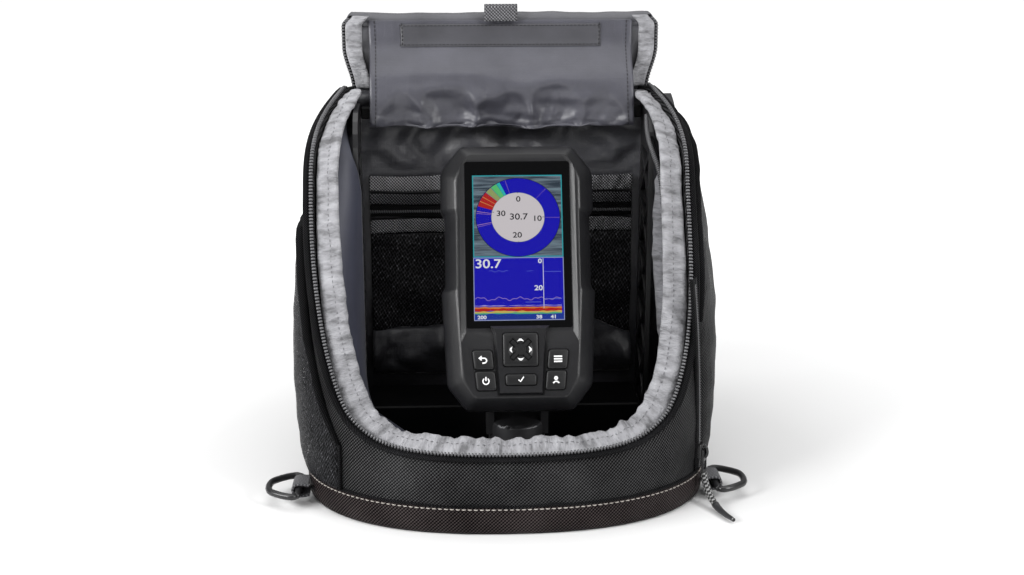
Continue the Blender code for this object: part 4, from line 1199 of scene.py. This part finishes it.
# ================================================================ rings
def make_rings():
    """The D-rings at the two sides and the webbing that holds each."""
    outline = [(0, -14), (0, 14), (1.2, 17), (4, 18.5), (10, 16.5), (17, 12), (21, 7.5), (22.3, 0), (21, -7.5),
               (17, -12), (10, -16.5), (4, -18.5), (1.2, -17)]
    for side, name in ((1, "right"), (-1, "left")):
        centre = Vector(joint(f"ring_{name}_swing")["pos_m"]) / MM
        count = len(outline)
        ring = []
        for k in range(count):
            for step in range(5):
                p = [outline[(k + d) % count] for d in (-1, 0, 1, 2)]
                at = smooth_curve([Vector((*q, 0)) for q in p], (1 + step / 5) / 3)
                ring.append(centre + Vector((side * at.x * 0.88, at.y * 0.95, 0)))
        tube_piece("d_ring_" + name, round_rings(ring, 2.2, 12, closed=True), RING_GREY,
                   "ring_" + name, ("ring_" + name,), closed_path=True)
        low, high = corners("ring_tab_" + name)
        inner = low.x if side > 0 else high.x
        outer = high.x if side > 0 else low.x
        mid = centre.z
        profile = [(inner - side * 3, mid + 3.3), (centre.x - side * 1.5, mid + 4.0),
                   (centre.x + side * 2.4, mid + 3.2), (outer, mid), (centre.x + side * 2.4, mid - 3.2),
                   (centre.x - side * 1.5, mid - 4.0), (inner - side * 3, mid - 3.3)]
        rows = []
        for k in range(25):
            at = smooth_curve([Vector((a, b, 0)) for a, b in profile], k / 24)
            rows.append([Vector((at.x, centre.y - 8 + 2 * i, at.y)) for i in range(9)])
        sheet_piece("ring_web_" + name, rows, WEBBING, "bag", 1.4,
                    replaces=("ring_tab_" + name,))


# ================================================================ display
def head_outline(inset, y):
    """The case's outline with its corners eased, and the finger recess down each side."""
    wide, recess = HEAD_HALF - inset, 2.5 * max(0.0, 1 - inset / 12)
    round_steps = 4
    ease_in = inset * 0.8
    right = [(36 - inset * 0.55, HEAD_TOP - ease_in), (wide, 130 - inset * 0.55), (wide, 104.5),
             (wide - recess, 101.5), (wide - recess, 55), (wide, 52), (wide - 3.0, -7.5 + inset * 0.4),
             (33.5 - inset * 0.5, HEAD_BOTTOM + ease_in)]
    points = right + [(-x, z) for x, z in reversed(right)]
    radii = [3, 4, 2, 2, 2, 2, 3, 3] + [3, 3, 2, 2, 2, 2, 4, 3]
    rounded = []
    count = len(points)
    for i, (point, radius) in enumerate(zip(points, radii)):
        here = Vector(point)
        before, after = Vector(points[i - 1]), Vector(points[(i + 1) % count])
        back, on = before - here, after - here
        cut = min(radius, back.length * 0.45, on.length * 0.45)
        a, b = here + back.normalized() * cut, here + on.normalized() * cut
        for k in range(round_steps + 1):
            t = k / round_steps
            rounded.append(a.lerp(here, t).lerp(here.lerp(b, t), t))
    return [Vector((p.x, y, p.y)) for p in rounded]


def loft_mesh(rings):
    bm = bmesh.new()
    add_grid(bm, rings, closed=True, cap=True)
    bmesh.ops.recalc_face_normals(bm, faces=bm.faces)
    return bm


def rounded_rect(x, z, wide, tall, radius, lean=0.0):
    """Corner points of an upright rectangle that may lean sideways."""
    w, h, steps = wide / 2, tall / 2, 4
    points = []
    for cx, cz, start in ((w - radius, h - radius, 0), (-w + radius, h - radius, 90),
                          (-w + radius, -h + radius, 180), (w - radius, -h + radius, 270)):
        for k in range(steps + 1):
            turn = math.radians(start + 90 * k / steps)
            a, b = cx + radius * math.cos(turn), cz + radius * math.sin(turn)
            points.append((x + a - lean * b / h * 0.5, z + b))
    return points


def boolean(target, cutter_bm, operation):
    """Applies one boolean to a mesh that is still in millimetres."""
    mesh = bpy.data.meshes.new("cutter")
    bmesh.ops.recalc_face_normals(cutter_bm, faces=cutter_bm.faces)
    cutter_bm.to_mesh(mesh)
    cutter_bm.free()
    cutter = bpy.data.objects.new("cutter", mesh)
    bpy.context.scene.collection.objects.link(cutter)
    step = target.modifiers.new("cut", "BOOLEAN")
    step.operation = operation
    step.solver = "EXACT"
    step.object = cutter
    apply_modifiers(target)
    bpy.data.objects.remove(cutter)


def apply_modifiers(obj):
    depsgraph = bpy.context.evaluated_depsgraph_get()
    depsgraph.update()
    made = bpy.data.meshes.new_from_object(obj.evaluated_get(depsgraph))
    obj.modifiers.clear()
    obj.data = made


def work_object(bm):
    mesh = bpy.data.meshes.new("work")
    bm.to_mesh(mesh)
    bm.free()
    obj = bpy.data.objects.new("work", mesh)
    bpy.context.scene.collection.objects.link(obj)
    return obj


def stepped_bm(*levels):
    """A closed solid through flat outlines of (x, z), each given with its own y."""
    bm = bmesh.new()
    add_grid(bm, [[Vector((x, y, z)) for x, z in outline] for outline, y in levels], closed=True, cap=True)
    return bm


def prism_bm(outline, y0, y1):
    return stepped_bm((outline, y0), (outline, y1))


def settle(work, name, mat, body, replaces=(), bevel=0.5, segments=3, angle=28):
    """Moves a mesh worked in the display's own frame to its place, with eased edges."""
    mesh = work.data
    bpy.data.objects.remove(work)
    mesh.name = name
    mesh.transform(Matrix.Scale(MM, 4) @ HEAD)
    mesh.materials.clear()
    mesh.materials.append(mat)
    mesh.shade_smooth()
    obj = bpy.data.objects.new(name, mesh)
    bpy.context.scene.collection.objects.link(obj)
    if bevel:
        step = obj.modifiers.new("edges", "BEVEL")
        step.width = bevel * MM
        step.segments = segments
        step.limit_method = "ANGLE"
        step.angle_limit = math.radians(angle)
        step.harden_normals = False
    mesh.set_sharp_from_angle(angle=math.radians(45))
    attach(obj, body)
    if replaces:
        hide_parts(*replaces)
    return obj


WINDOW_HALF, WINDOW_LOW, WINDOW_HIGH = 34.0, 27.6, 135.6
KEYS = {
    "direction_pad": (0.0, 14.0, 22.0, 21.0, 0.0),
    "select_key": (0.0, -4.8, 19.5, 7.0, 0.0),
    "back_key": (-23.4, 8.0, 12.6, 12.2, 1.2),
    "power_key": (-21.9, -5.2, 12.6, 12.2, 1.2),
    "menu_key": (23.4, 8.0, 12.6, 12.2, -1.2),
    "waypoint_key": (21.9, -5.2, 12.6, 12.2, -1.2),
}
ISLAND_RISE = 2.2
KEY_STANDS = 1.5


def make_front_case():
    rings = [head_outline(inset, y) for inset, y in
             ((0, PARTING_Y - 0.4), (0, -44.0), (0.25, -45.6), (1.0, -47.0), (4.8, -51.0), (8.6, -55.0),
              (9.6, -55.8), (11.0, FACE_Y))]
    work = work_object(loft_mesh(rings))
    hollow = [head_outline(3, PARTING_Y + 3), head_outline(3, -44), head_outline(11, -53.0)]
    boolean(work, loft_mesh(hollow), "DIFFERENCE")

    # sloped recess round the glass
    outer = [(-37.0, 19.0), (-37.0, 24.0), (-36.6, 134.0), (-31.0, 139.8), (31.0, 139.8), (36.6, 134.0),
             (37.0, 24.0), (37.0, 19.0), (34.0, 16.6), (-34.0, 16.6)]
    inner = [(-33.6, 26.0), (-34.0, 28.0), (-34.0, 133.4), (-31.6, 135.8), (31.6, 135.8), (34.0, 133.4),
             (34.0, 28.0), (33.6, 26.0), (33.0, 25.6), (-33.0, 25.6)]
    boolean(work, stepped_bm((outer, FACE_Y - 1.0), (outer, FACE_Y - 0.02), (inner, FACE_Y + 2.3)),
            "DIFFERENCE")
    boolean(work, prism_bm(rounded_rect(0, (WINDOW_LOW + WINDOW_HIGH) / 2, 2 * WINDOW_HALF - 1,
                                        WINDOW_HIGH - WINDOW_LOW - 1, 1.5), -60, -50), "DIFFERENCE")

    # groove and island for the pad
    foot = [(-17.6, 24.5), (-20.2, 30.5), (20.2, 30.5), (17.6, 24.5), (14.6, -15.0), (-14.6, -15.0)]
    boolean(work, prism_bm(foot, FACE_Y - 1, FACE_Y + 1.0), "DIFFERENCE")
    base = [(-16.6, 24.5), (-18.6, 29.3), (18.6, 29.3), (16.6, 24.5), (13.9, -14.0), (-13.9, -14.0)]
    top = [(-15.2, 24.0), (-16.2, 27.4), (16.2, 27.4), (15.2, 24.0), (12.9, -12.9), (-12.9, -12.9)]
    boolean(work, stepped_bm((base, FACE_Y + 2.6), (base, FACE_Y), (top, FACE_Y - ISLAND_RISE)), "UNION")
    for x, z, wide, tall, lean in KEYS.values():
        opening = rounded_rect(x, z, wide + 0.7, tall + 0.7, 1.9, lean)
        boolean(work, prism_bm(opening, FACE_Y - 8, -50), "DIFFERENCE")
    settle(work, "front_case", CASE, "display", ("front_bezel",), 0.35, 2, 32)


def make_rear_case():
    rings = [head_outline(inset, y) for inset, y in
             ((0, PARTING_Y + 0.7), (0.3, -34), (0.8, -28), (3.0, -22), (6.0, -15.4), (7.4, -13.6),
              (9.5, BACK_OF_HEAD_Y))]
    work = work_object(loft_mesh(rings))
    socket = HEAD.inverted() @ ((corners("cable_socket")[0] + corners("cable_socket")[1]) / 2)
    hole = bmesh.new()
    bmesh.ops.create_cone(hole, cap_ends=True, segments=32, radius1=8.3, radius2=8.3, depth=40,
                          matrix=Matrix.Translation(socket) @ Matrix.Rotation(math.pi / 2, 4, "X"))
    boolean(work, hole, "DIFFERENCE")
    for k in range(6):
        boolean(work, prism_bm(rounded_rect(0, 84 + 6.5 * k, 44, 2.0, 0.9), -14.2, -8), "DIFFERENCE")
    settle(work, "rear_case", CASE_REAR, "display", ("rear_housing",), 0.4, 2, 32)


def make_keys():
    """Rubber keys with eased tops. Each rides on its own body."""
    for name, (x, z, wide, tall, lean) in KEYS.items():
        rise = KEY_STANDS + (ISLAND_RISE if name in ("direction_pad", "select_key") else 0)
        top = FACE_Y - rise
        layers = [(-53.6, 0.0), (top + 0.9, 0.0), (top + 0.35, 0.25), (top, 0.9)]
        rings = [[Vector((a, y, b)) for a, b in rounded_rect(x, z, wide - 2 * inset, tall - 2 * inset, 1.6, lean)]
                 for y, inset in layers]
        work = work_object(loft_mesh(rings))
        if name == "direction_pad":
            dish = bmesh.new()
            bmesh.ops.create_cone(dish, cap_ends=True, segments=48, radius1=8.6, radius2=6.6, depth=1.4,
                                  matrix=Matrix.Translation((x, top, z))
                                  @ Matrix.Rotation(-math.pi / 2, 4, "X"))
            boolean(work, dish, "DIFFERENCE")
            # grooves between the four arrows, with a lower bar left along each
            for operation, down, size in (("DIFFERENCE", 0.0, (17.0, 2.4, 3.6)),
                                          ("UNION", 0.6, (15.5, 1.7, 2.1))):
                for turn in (45, 135):
                    bar = bmesh.new()
                    bmesh.ops.create_cube(bar, size=1, matrix=Matrix.Translation((x, top + down, z))
                                          @ Matrix.Rotation(math.radians(turn), 4, "Y")
                                          @ Matrix.Diagonal((*size, 1)))
                    boolean(work, bar, operation)
            hub = bmesh.new()
            bmesh.ops.create_cone(hub, cap_ends=True, segments=36, radius1=4.0, radius2=3.4, depth=1.3,
                                  matrix=Matrix.Translation((x, top + 0.45, z))
                                  @ Matrix.Rotation(math.pi / 2, 4, "X"))
            boolean(work, hub, "UNION")
        settle(work, name + "_cap", KEY, name, (name,), 0.3, 2, 32)


def flat_bm(shapes, y, thick=0.16):
    """Extruded flat shapes, each a list of (x, z)."""
    bm = bmesh.new()
    for shape in shapes:
        add_grid(bm, [[Vector((x, at, z)) for x, z in shape] for at in (y, y - thick)], closed=True, cap=True)
    return bm


def stroke(points, width):
    """A line of some width as a closed flat shape."""
    left, right = [], []
    for i, (x, z) in enumerate(points):
        before, after = points[max(i - 1, 0)], points[min(i + 1, len(points) - 1)]
        run = Vector((after[0] - before[0], after[1] - before[1]))
        run.normalize()
        left.append((x - run.y * width / 2, z + run.x * width / 2))
        right.append((x + run.y * width / 2, z - run.x * width / 2))
    return left + right[::-1]


def arc(x, z, radius, start, end, steps=20, tall=1.0):
    """Part of a circle, or of an oval if tall isn't 1."""
    turns = [math.radians(start + (end - start) * k / steps) for k in range(steps + 1)]
    return [(x + radius * math.cos(a), z + tall * radius * math.sin(a)) for a in turns]


def make_symbols():
    """White signs on the keys: arrows, tick, bars, power, back and waypoint."""
    def put(name, shapes, key, rise, lower=0.0):
        work = work_object(flat_bm(shapes, FACE_Y - rise + 0.02 + lower))
        settle(work, name, WHITE_INK, key, bevel=0)

    x, z = KEYS["direction_pad"][:2]
    arrows = []
    for turn in (0, 90, 180, 270):
        c, s = math.cos(math.radians(turn)), math.sin(math.radians(turn))
        shape = [(-2.1, 5.1), (0, 7.6), (2.1, 5.1), (0, 5.7)]
        arrows.append([(x + a * c - b * s, z + a * s + b * c) for a, b in shape])
    put("pad_arrows", arrows, "direction_pad", KEY_STANDS + ISLAND_RISE, 0.66)
    x, z = KEYS["select_key"][:2]
    put("select_tick", [stroke([(x - 1.7, z - 0.1), (x - 0.5, z - 1.3), (x + 1.6, z + 1.7)], 0.75)], "select_key",
        KEY_STANDS + ISLAND_RISE)
    x, z = KEYS["menu_key"][:2]
    put("menu_bars", [stroke([(x - 2.6, z + h), (x + 2.6, z + h)], 0.9) for h in (-1.6, 0, 1.6)],
        "menu_key", KEY_STANDS)
    x, z = KEYS["power_key"][:2]
    put("power_sign", [stroke(arc(x, z - 0.2, 1.9, 125, 415), 0.7), stroke([(x, z), (x, z + 2.5)], 0.7)],
        "power_key", KEY_STANDS)
    x, z = KEYS["back_key"][:2]
    hook = [(x - 1.2, z + 1.0), (x + 0.6, z + 1.0)] + arc(x + 0.6, z - 0.5, 1.5, 90, -90, 12)
    tip = [(x - 3.0, z + 1.0), (x - 1.0, z + 2.7), (x - 1.0, z - 0.7)]
    put("back_arrow", [stroke(hook + [(x - 0.6, z - 2.0)], 0.8), tip], "back_key", KEY_STANDS)
    x, z = KEYS["waypoint_key"][:2]
    foot = [(x - 1.9, z - 1.9), (x - 0.7, z - 0.9), (x + 0.7, z - 0.9), (x + 1.9, z - 1.9)]
    put("waypoint_pin", [arc(x, z + 1.2, 1.25, 0, 340, 18), stroke(foot, 0.9)], "waypoint_key", KEY_STANDS)


def make_yoke():
    """The swivelling yoke: a smooth drum with two ears for the tilt bolt."""
    into = HEAD.inverted()
    low = corners("swivel_yoke")[0].z

    def ring(radius, z):
        return [into @ Vector((PIVOT.x + radius * math.cos(math.radians(6 * k)),
                               PIVOT.y + radius * math.sin(math.radians(6 * k)), z)) for k in range(60)]
    drum = [(15.6, low), (18.2, low + 0.5), (18.8, low + 1.6), (18.8, 42.2), (18.0, 44.2), (16.2, 45.0)]
    work = work_object(loft_mesh([ring(radius, z) for radius, z in drum]))
    for side in (1, -1):
        profile = [(9 * math.cos(math.radians(10 * k)), PIVOT.z + 9 * math.sin(math.radians(10 * k)))
                   for k in range(19)]
        profile += [(-9, 36.0), (9, 36.0)]
        ear = bmesh.new()
        add_grid(ear, [[into @ Vector((PIVOT.x + side * x, PIVOT.y + y, z)) for y, z in profile]
                       for x in (15.3, 20.5)], closed=True, cap=True)
        boolean(work, ear, "UNION")
    bore = bmesh.new()
    bmesh.ops.create_cone(bore, cap_ends=True, segments=32, radius1=3.15, radius2=3.15, depth=60,
                          matrix=into @ Matrix.Translation(PIVOT) @ Matrix.Rotation(math.pi / 2, 4, "Y"))
    boolean(work, bore, "DIFFERENCE")
    settle(work, "yoke_drum", MOUNT_BLACK, "swivel", ("swivel_yoke",), 0.5, 3, 32)


# ---------------------------------------------------------------- screen
SCREEN_HALF, SCREEN_LOW, SCREEN_HIGH, SCREEN_SPLIT = 28.6, 33.0, 126.3, 73.4
SCREEN_Y = -53.05
DIAL_TALL = 0.945                          # the dial is a little wider than it is high
NUMERAL_WIDTH = 1.22
BLUE = (0.010, 0.008, 0.42)
TEAL = (0.03, 0.32, 0.36)


def screen_piece(name, shapes, mat, layer):
    work = work_object(flat_bm(shapes, SCREEN_Y - 0.05 * layer, 0.04))
    return settle(work, name, mat, "display", bevel=0)


def rectangle(x0, z0, x1, z1):
    return [(x0, z0), (x1, z0), (x1, z1), (x0, z1)]


def border(x0, z0, x1, z1, w):
    return [rectangle(x0, z0, x1, z0 + w), rectangle(x0, z1 - w, x1, z1),
            rectangle(x0, z0 + w, x0 + w, z1 - w), rectangle(x1 - w, z0 + w, x1, z1 - w)]


def sector(x, z, r0, r1, start, end):
    steps = max(2, int(abs(end - start) / 3))
    return arc(x, z, r1, start, end, steps, DIAL_TALL) + arc(x, z, r0, end, start, steps, DIAL_TALL)


def numerals(name, text, x, z, size, mat, layer, bold):
    """Plain figures on the screen, drawn a little wide."""
    curve = bpy.data.curves.new(name, "FONT")
    curve.body = text
    curve.size = size
    curve.align_x = "CENTER"
    curve.align_y = "CENTER"
    curve.extrude = 0.02
    curve.offset = bold
    work = bpy.data.objects.new("work", curve)
    bpy.context.scene.collection.objects.link(work)
    depsgraph = bpy.context.evaluated_depsgraph_get()
    mesh = bpy.data.meshes.new_from_object(work.evaluated_get(depsgraph))
    bpy.data.objects.remove(work)
    mesh.transform(Matrix.Translation((x, SCREEN_Y - 0.05 * layer, z)) @ Matrix.Rotation(math.pi / 2, 4, "X")
                   @ Matrix.Diagonal((NUMERAL_WIDTH, 1, 1, 1)))
    return settle(bpy.data.objects.new("work", mesh), name, mat, "display", bevel=0)


def make_screen():
    """A depth dial over an echo chart, both lit."""
    blue, white = glow("screen_blue", BLUE, 1.0), glow("screen_white", (0.8, 0.82, 0.85), 0.9)
    pale, ink = glow("dial_pale", (0.66, 0.62, 0.64), 0.9), glow("dial_ink", (0.02, 0.02, 0.03), 0.2)
    teal, pink = glow("screen_teal", TEAL, 1.0), glow("dial_pink", (0.55, 0.3, 0.45), 0.8)
    water = Shade("screen_water", (0, 0, 0), 0.5, Specular_IOR_Level=0.0)
    stretch = water.node("ShaderNodeMapping", {"Vector": water.coordinates("Object"),
                                               "Scale": (40, 40, 700)})
    ripples = water.noise(stretch.outputs[0], 1.0, 4.0)
    tones = water.ramp(ripples, [(0.35, (0.03, 0.045, 0.06)), (0.5, (0.10, 0.13, 0.16)),
                                 (0.68, (0.17, 0.24, 0.28))])
    water.link(tones, "Emission Color")
    water.set("Emission Strength", 1.0)

    left, right = -SCREEN_HALF, SCREEN_HALF
    screen_piece("pane_water", [rectangle(left, SCREEN_SPLIT, right, SCREEN_HIGH)], water.made, 1)
    screen_piece("pane_echo", [rectangle(left, SCREEN_LOW, right, SCREEN_SPLIT)], blue, 1)
    screen_piece("pane_water_border", border(left, SCREEN_SPLIT, right, SCREEN_HIGH, 0.7), teal, 2)
    screen_piece("pane_echo_border", border(left, SCREEN_LOW, right, SCREEN_SPLIT - 0.2, 0.45),
                 glow("pane_edge", (0.35, 0.4, 0.6), 0.9), 2)

    x, z, r0, r1 = 0.2, 99.0, 16.8, 26.6
    screen_piece("dial_ring", [sector(x, z, r0 + 0.2, r1, start, end)
                               for start, end in ((0, 119.5), (119.5, 239.5), (239.5, 360))], blue, 3)
    screen_piece("dial_rim", [sector(x, z, r1, r1 + 0.35, a, a + 120) for a in (0, 120, 240)], ink, 3)
    screen_piece("dial_face", [arc(x, z, r0, 0, 357, 119, DIAL_TALL)], pale, 4)
    bands = [("red", (0.42, 0.02, 0.015), [(140, 147), (148.2, 154.5), (155.8, 163)]),
             ("orange", (0.6, 0.2, 0.06), [(147, 148.2), (154.5, 155.8)]),
             ("olive", (0.28, 0.33, 0.12), [(130, 139.6)]),
             ("green", (0.10, 0.5, 0.16), [(120.5, 129.5)]),
             ("cyan", (0.03, 0.45, 0.42), [(115.5, 120)])]
    for name, colour, spans in bands:
        screen_piece("dial_" + name, [sector(x, z, r0 + 0.2, r1 - 0.1, a, b) for a, b in spans],
                     glow("dial_" + name, colour, 1.0), 4)
    lines = [(107, 0.4), (47, 0.3), (-1, 0.3), (170.5, 0.8), (173.5, 0.5), (191, 0.8), (194, 0.4)]
    screen_piece("dial_lines", [sector(x, z, r0 + 0.2, r1 - 0.1, a, a + w) for a, w in lines], pink, 5)
    ticks = [stroke([(x + (r0 - 1.3) * math.cos(a), z + (r0 - 1.3) * math.sin(a)),
                     (x + r0 * math.cos(a), z + r0 * math.sin(a))], 0.3) for a in
             [math.pi / 2, 0, -math.pi / 2, math.radians(168)]]
    screen_piece("dial_ticks", ticks, ink, 5)
    for text, dx, dz, size in (("0", 0.4, 11.6, 4.9), ("10", 12.2, -1.0, 4.9), ("20", -0.6, -11.6, 4.9),
                               ("30", -10.8, 2.4, 4.9), ("30.7", 0.4, 0.2, 5.6)):
        numerals("dial_number_" + text.replace(".", "_"), text, x + dx, z + dz, size, ink, 6, 0.06)

    numerals("depth_reading", "30.7", left + 9.3, SCREEN_SPLIT - 4.4, 8.0, white, 4, 0.1)
    numerals("scale_top", "0", 13.6, SCREEN_SPLIT - 2.8, 4.0, white, 4, 0.1)
    numerals("scale_middle", "20", 12.4, SCREEN_SPLIT - 20.0, 4.4, white, 4, 0.1)
    for text, at in (("200", left + 5.0), ("38", 12.4), ("41", 21.6)):
        numerals("foot_" + text, text, at, SCREEN_LOW + 2.0, 3.1, white, 7, 0.1)
    screen_piece("scale_line", [rectangle(15.4, SCREEN_LOW + 6, 15.75, SCREEN_SPLIT - 1)], white, 4)
    faint = glow("echo_faint", (0.12, 0.16, 0.62), 1.0)
    trace = [(left + 1 + 54 * k / 44, SCREEN_SPLIT - 26.6 + 1.1 * math.sin(k * 0.62) * math.exp(-k / 60)
              + 0.5 * math.sin(k * 1.7)) for k in range(45)]
    screen_piece("echo_trace", [stroke(trace, 0.28)], glow("echo_trace", (0.45, 0.3, 0.55), 0.9), 4)
    upper = [stroke([(left + 10 + k, SCREEN_SPLIT - 9 + 0.5 * math.sin(k * 1.3)) for k in range(13)], 0.22),
             stroke([(5, SCREEN_SPLIT - 9.2), (9, SCREEN_SPLIT - 8.8)], 0.22),
             rectangle(15.9, SCREEN_SPLIT - 9.6, 27, SCREEN_SPLIT - 9.35),
             rectangle(15.9, SCREEN_SPLIT - 27, 27, SCREEN_SPLIT - 26.7),
             rectangle(4, SCREEN_SPLIT - 29, 14, SCREEN_SPLIT - 28.7)]
    screen_piece("echo_upper", upper, faint, 4)

    def layer(low, high, seed):
        """A wavering stratum across the chart."""
        steps = 56
        xs = [left + 0.5 + 55 * k / steps for k in range(steps + 1)]
        lower = [(a, SCREEN_LOW + low + noise.noise(Vector((a / 5, seed, 0))) * 0.5) for a in xs]
        upper_edge = [(a, SCREEN_LOW + high + noise.noise(Vector((a / 4, seed + 5, 0))) * 0.6) for a in xs]
        return lower + upper_edge[::-1]

    for name, colour, low, high, at in (("thin", (0.4, 0.35, 0.7), 9.3, 9.6, 4),
                                        ("orange", (0.62, 0.2, 0.04), 7.2, 8.6, 4),
                                        ("red", (0.45, 0.015, 0.01), 5.9, 7.6, 5),
                                        ("yellow", (0.55, 0.42, 0.1), 4.9, 5.9, 6),
                                        ("green", (0.08, 0.38, 0.2), 4.1, 5.2, 5)):
        screen_piece("stratum_" + name, [layer(low, high, at * 1.3)], glow("stratum_" + name, colour, 1.0), at)
    screen_piece("foot_bar", [rectangle(left + 0.5, SCREEN_LOW + 0.5, right - 0.5, SCREEN_LOW + 4.0)],
                 glow("foot_blue", (0.015, 0.04, 0.3), 1.0), 6)


def make_glass():
    """Black border of the cover glass as a frame, and a clear pane over the picture."""
    y = FACE_Y + 2.35
    outer = rounded_rect(0, (WINDOW_LOW + WINDOW_HIGH) / 2, 2 * WINDOW_HALF + 1,
                         WINDOW_HIGH - WINDOW_LOW + 1, 1.5)
    clear_part = rectangle(-SCREEN_HALF - 0.3, SCREEN_LOW - 0.3, SCREEN_HALF + 0.3, SCREEN_HIGH + 0.3)
    work = work_object(prism_bm(outer, y, y + 0.9))
    boolean(work, prism_bm(clear_part, y - 2, y + 4), "DIFFERENCE")
    settle(work, "glass_border", BLACK_GLASS, "display", ("screen_glass",), 0)
    clear = Shade("clear_glass", (0.02, 0.02, 0.03), 0.03, Alpha=0.06, Specular_IOR_Level=0.3).made
    pane = prism_bm(clear_part, y - 0.02, y + 0.1)
    settle(work_object(pane), "glass_pane", clear, "display", bevel=0)


# ================================================================ materials on CAD nodes
def set_material(node, mat):
    obj = frame["nodes"][node]
    if not obj.material_slots:
        obj.data.materials.append(mat)
    for slot in obj.material_slots:
        slot.material = mat


def dress_cad():
    looks = {
        FRAME_BLACK: ["frame_side_left", "frame_side_right"],
        SHELF_BLACK: ["frame_deck", "frame_top_bar", "battery_cover"],
        MOUNT_BLACK: ["mount_base", "swivel_yoke", "cradle"],
        CASE_REAR: ["tilt_knob", "cable_socket"],
        STEEL: (["tilt_bolt"] + [f"mount_screw_{i}" for i in (1, 2, 3)]
                + [f"housing_screw_{i}" for i in (1, 2, 3, 4)]),
        BOARD: ["circuit_board"],
        SEAL: ["housing_seal", "keypad_membrane", "beeper"],
        BATTERY: ["battery"],
        BRASS: ["battery_tab_positive", "battery_tab_negative"],
        BLACK_GLASS: ["lcd_panel"],
    }
    for mat, nodes in looks.items():
        for node in nodes:
            set_material(node, mat)


# ================================================================ stage
def make_stage():
    """A white floor under a large overhead softbox, in a white room."""
    bm = bmesh.new()
    bmesh.ops.create_grid(bm, x_segments=1, y_segments=1, size=1.0,
                          matrix=Matrix.Diagonal((2, 2, 1, 1)))
    mesh = bpy.data.meshes.new("floor")
    bm.to_mesh(mesh)
    bm.free()
    mesh.materials.append(FLOOR)
    floor = bpy.data.objects.new("floor", mesh)
    bpy.context.scene.collection.objects.link(floor)

    world = bpy.data.worlds.new("studio")
    world.use_nodes = True
    tree = world.node_tree
    background = tree.nodes["Background"]
    background.inputs["Color"].default_value = (1, 1, 1, 1)
    seen = tree.nodes.new("ShaderNodeLightPath")
    strength = tree.nodes.new("ShaderNodeMapRange")
    strength.inputs["To Min"].default_value = 0.28
    strength.inputs["To Max"].default_value = 1.05
    tree.links.new(seen.outputs["Is Camera Ray"], strength.inputs["Value"])
    tree.links.new(strength.outputs["Result"], background.inputs["Strength"])
    bpy.context.scene.world = world

    for name, place, target, size, power in (
            ("softbox", (0.0, 0.1, 2.3), (0, 0.1, 0), 3.4, 60),
            ("left_edge", (-1.1, -0.35, 0.55), (0, 0, 0.15), 0.35, 7),
            ("front_left", (-1.3, -1.0, 0.95), (0, 0, 0.12), 0.5, 20),
            ("front_right", (1.3, -1.0, 0.95), (0, 0, 0.12), 0.5, 17)):
        light = bpy.data.lights.new(name, "AREA")
        light.shape = "SQUARE"
        light.size = size
        light.energy = power
        lamp = bpy.data.objects.new(name, light)
        lamp.location = place
        lamp.rotation_euler = (Vector(target) - Vector(place)).to_track_quat("-Z", "Y").to_euler()
        bpy.context.scene.collection.objects.link(lamp)


def make_camera():
    """Level with the lens 16 degrees above the opening and a little to the left."""
    azimuth, elevation = math.radians(2.6), math.radians(16)
    look = Vector((math.sin(azimuth) * math.cos(elevation), math.cos(azimuth) * math.cos(elevation),
                   -math.sin(elevation)))
    right = Vector((math.cos(azimuth), -math.sin(azimuth), 0))
    place = Vector((-42.6, -938.8, 402.9)) + right * 4.2
    data = bpy.data.cameras.new("camera")
    data.lens = 52.734375                  # on the usual 36 mm wide sensor
    data.clip_start = 0.01
    camera = bpy.data.objects.new("camera", data)
    camera.location = place * MM
    camera.rotation_euler = look.to_track_quat("-Z", "Y").to_euler()
    bpy.context.scene.collection.objects.link(camera)
    bpy.context.scene.camera = camera
    bpy.context.scene.view_settings.view_transform = "Standard"


def main():
    make_camera()
    make_stage()
    make_pull_cord()
    make_walls()
    make_boot()
    make_outer_pockets()
    make_side_zip()
    make_rings()
    make_opening()
    make_lining()
    make_back_pockets()
    make_lid()
    make_flap()
    make_front_case()
    make_rear_case()
    make_keys()
    make_yoke()
    make_symbols()
    make_glass()
    make_screen()
    dress_cad()


main()
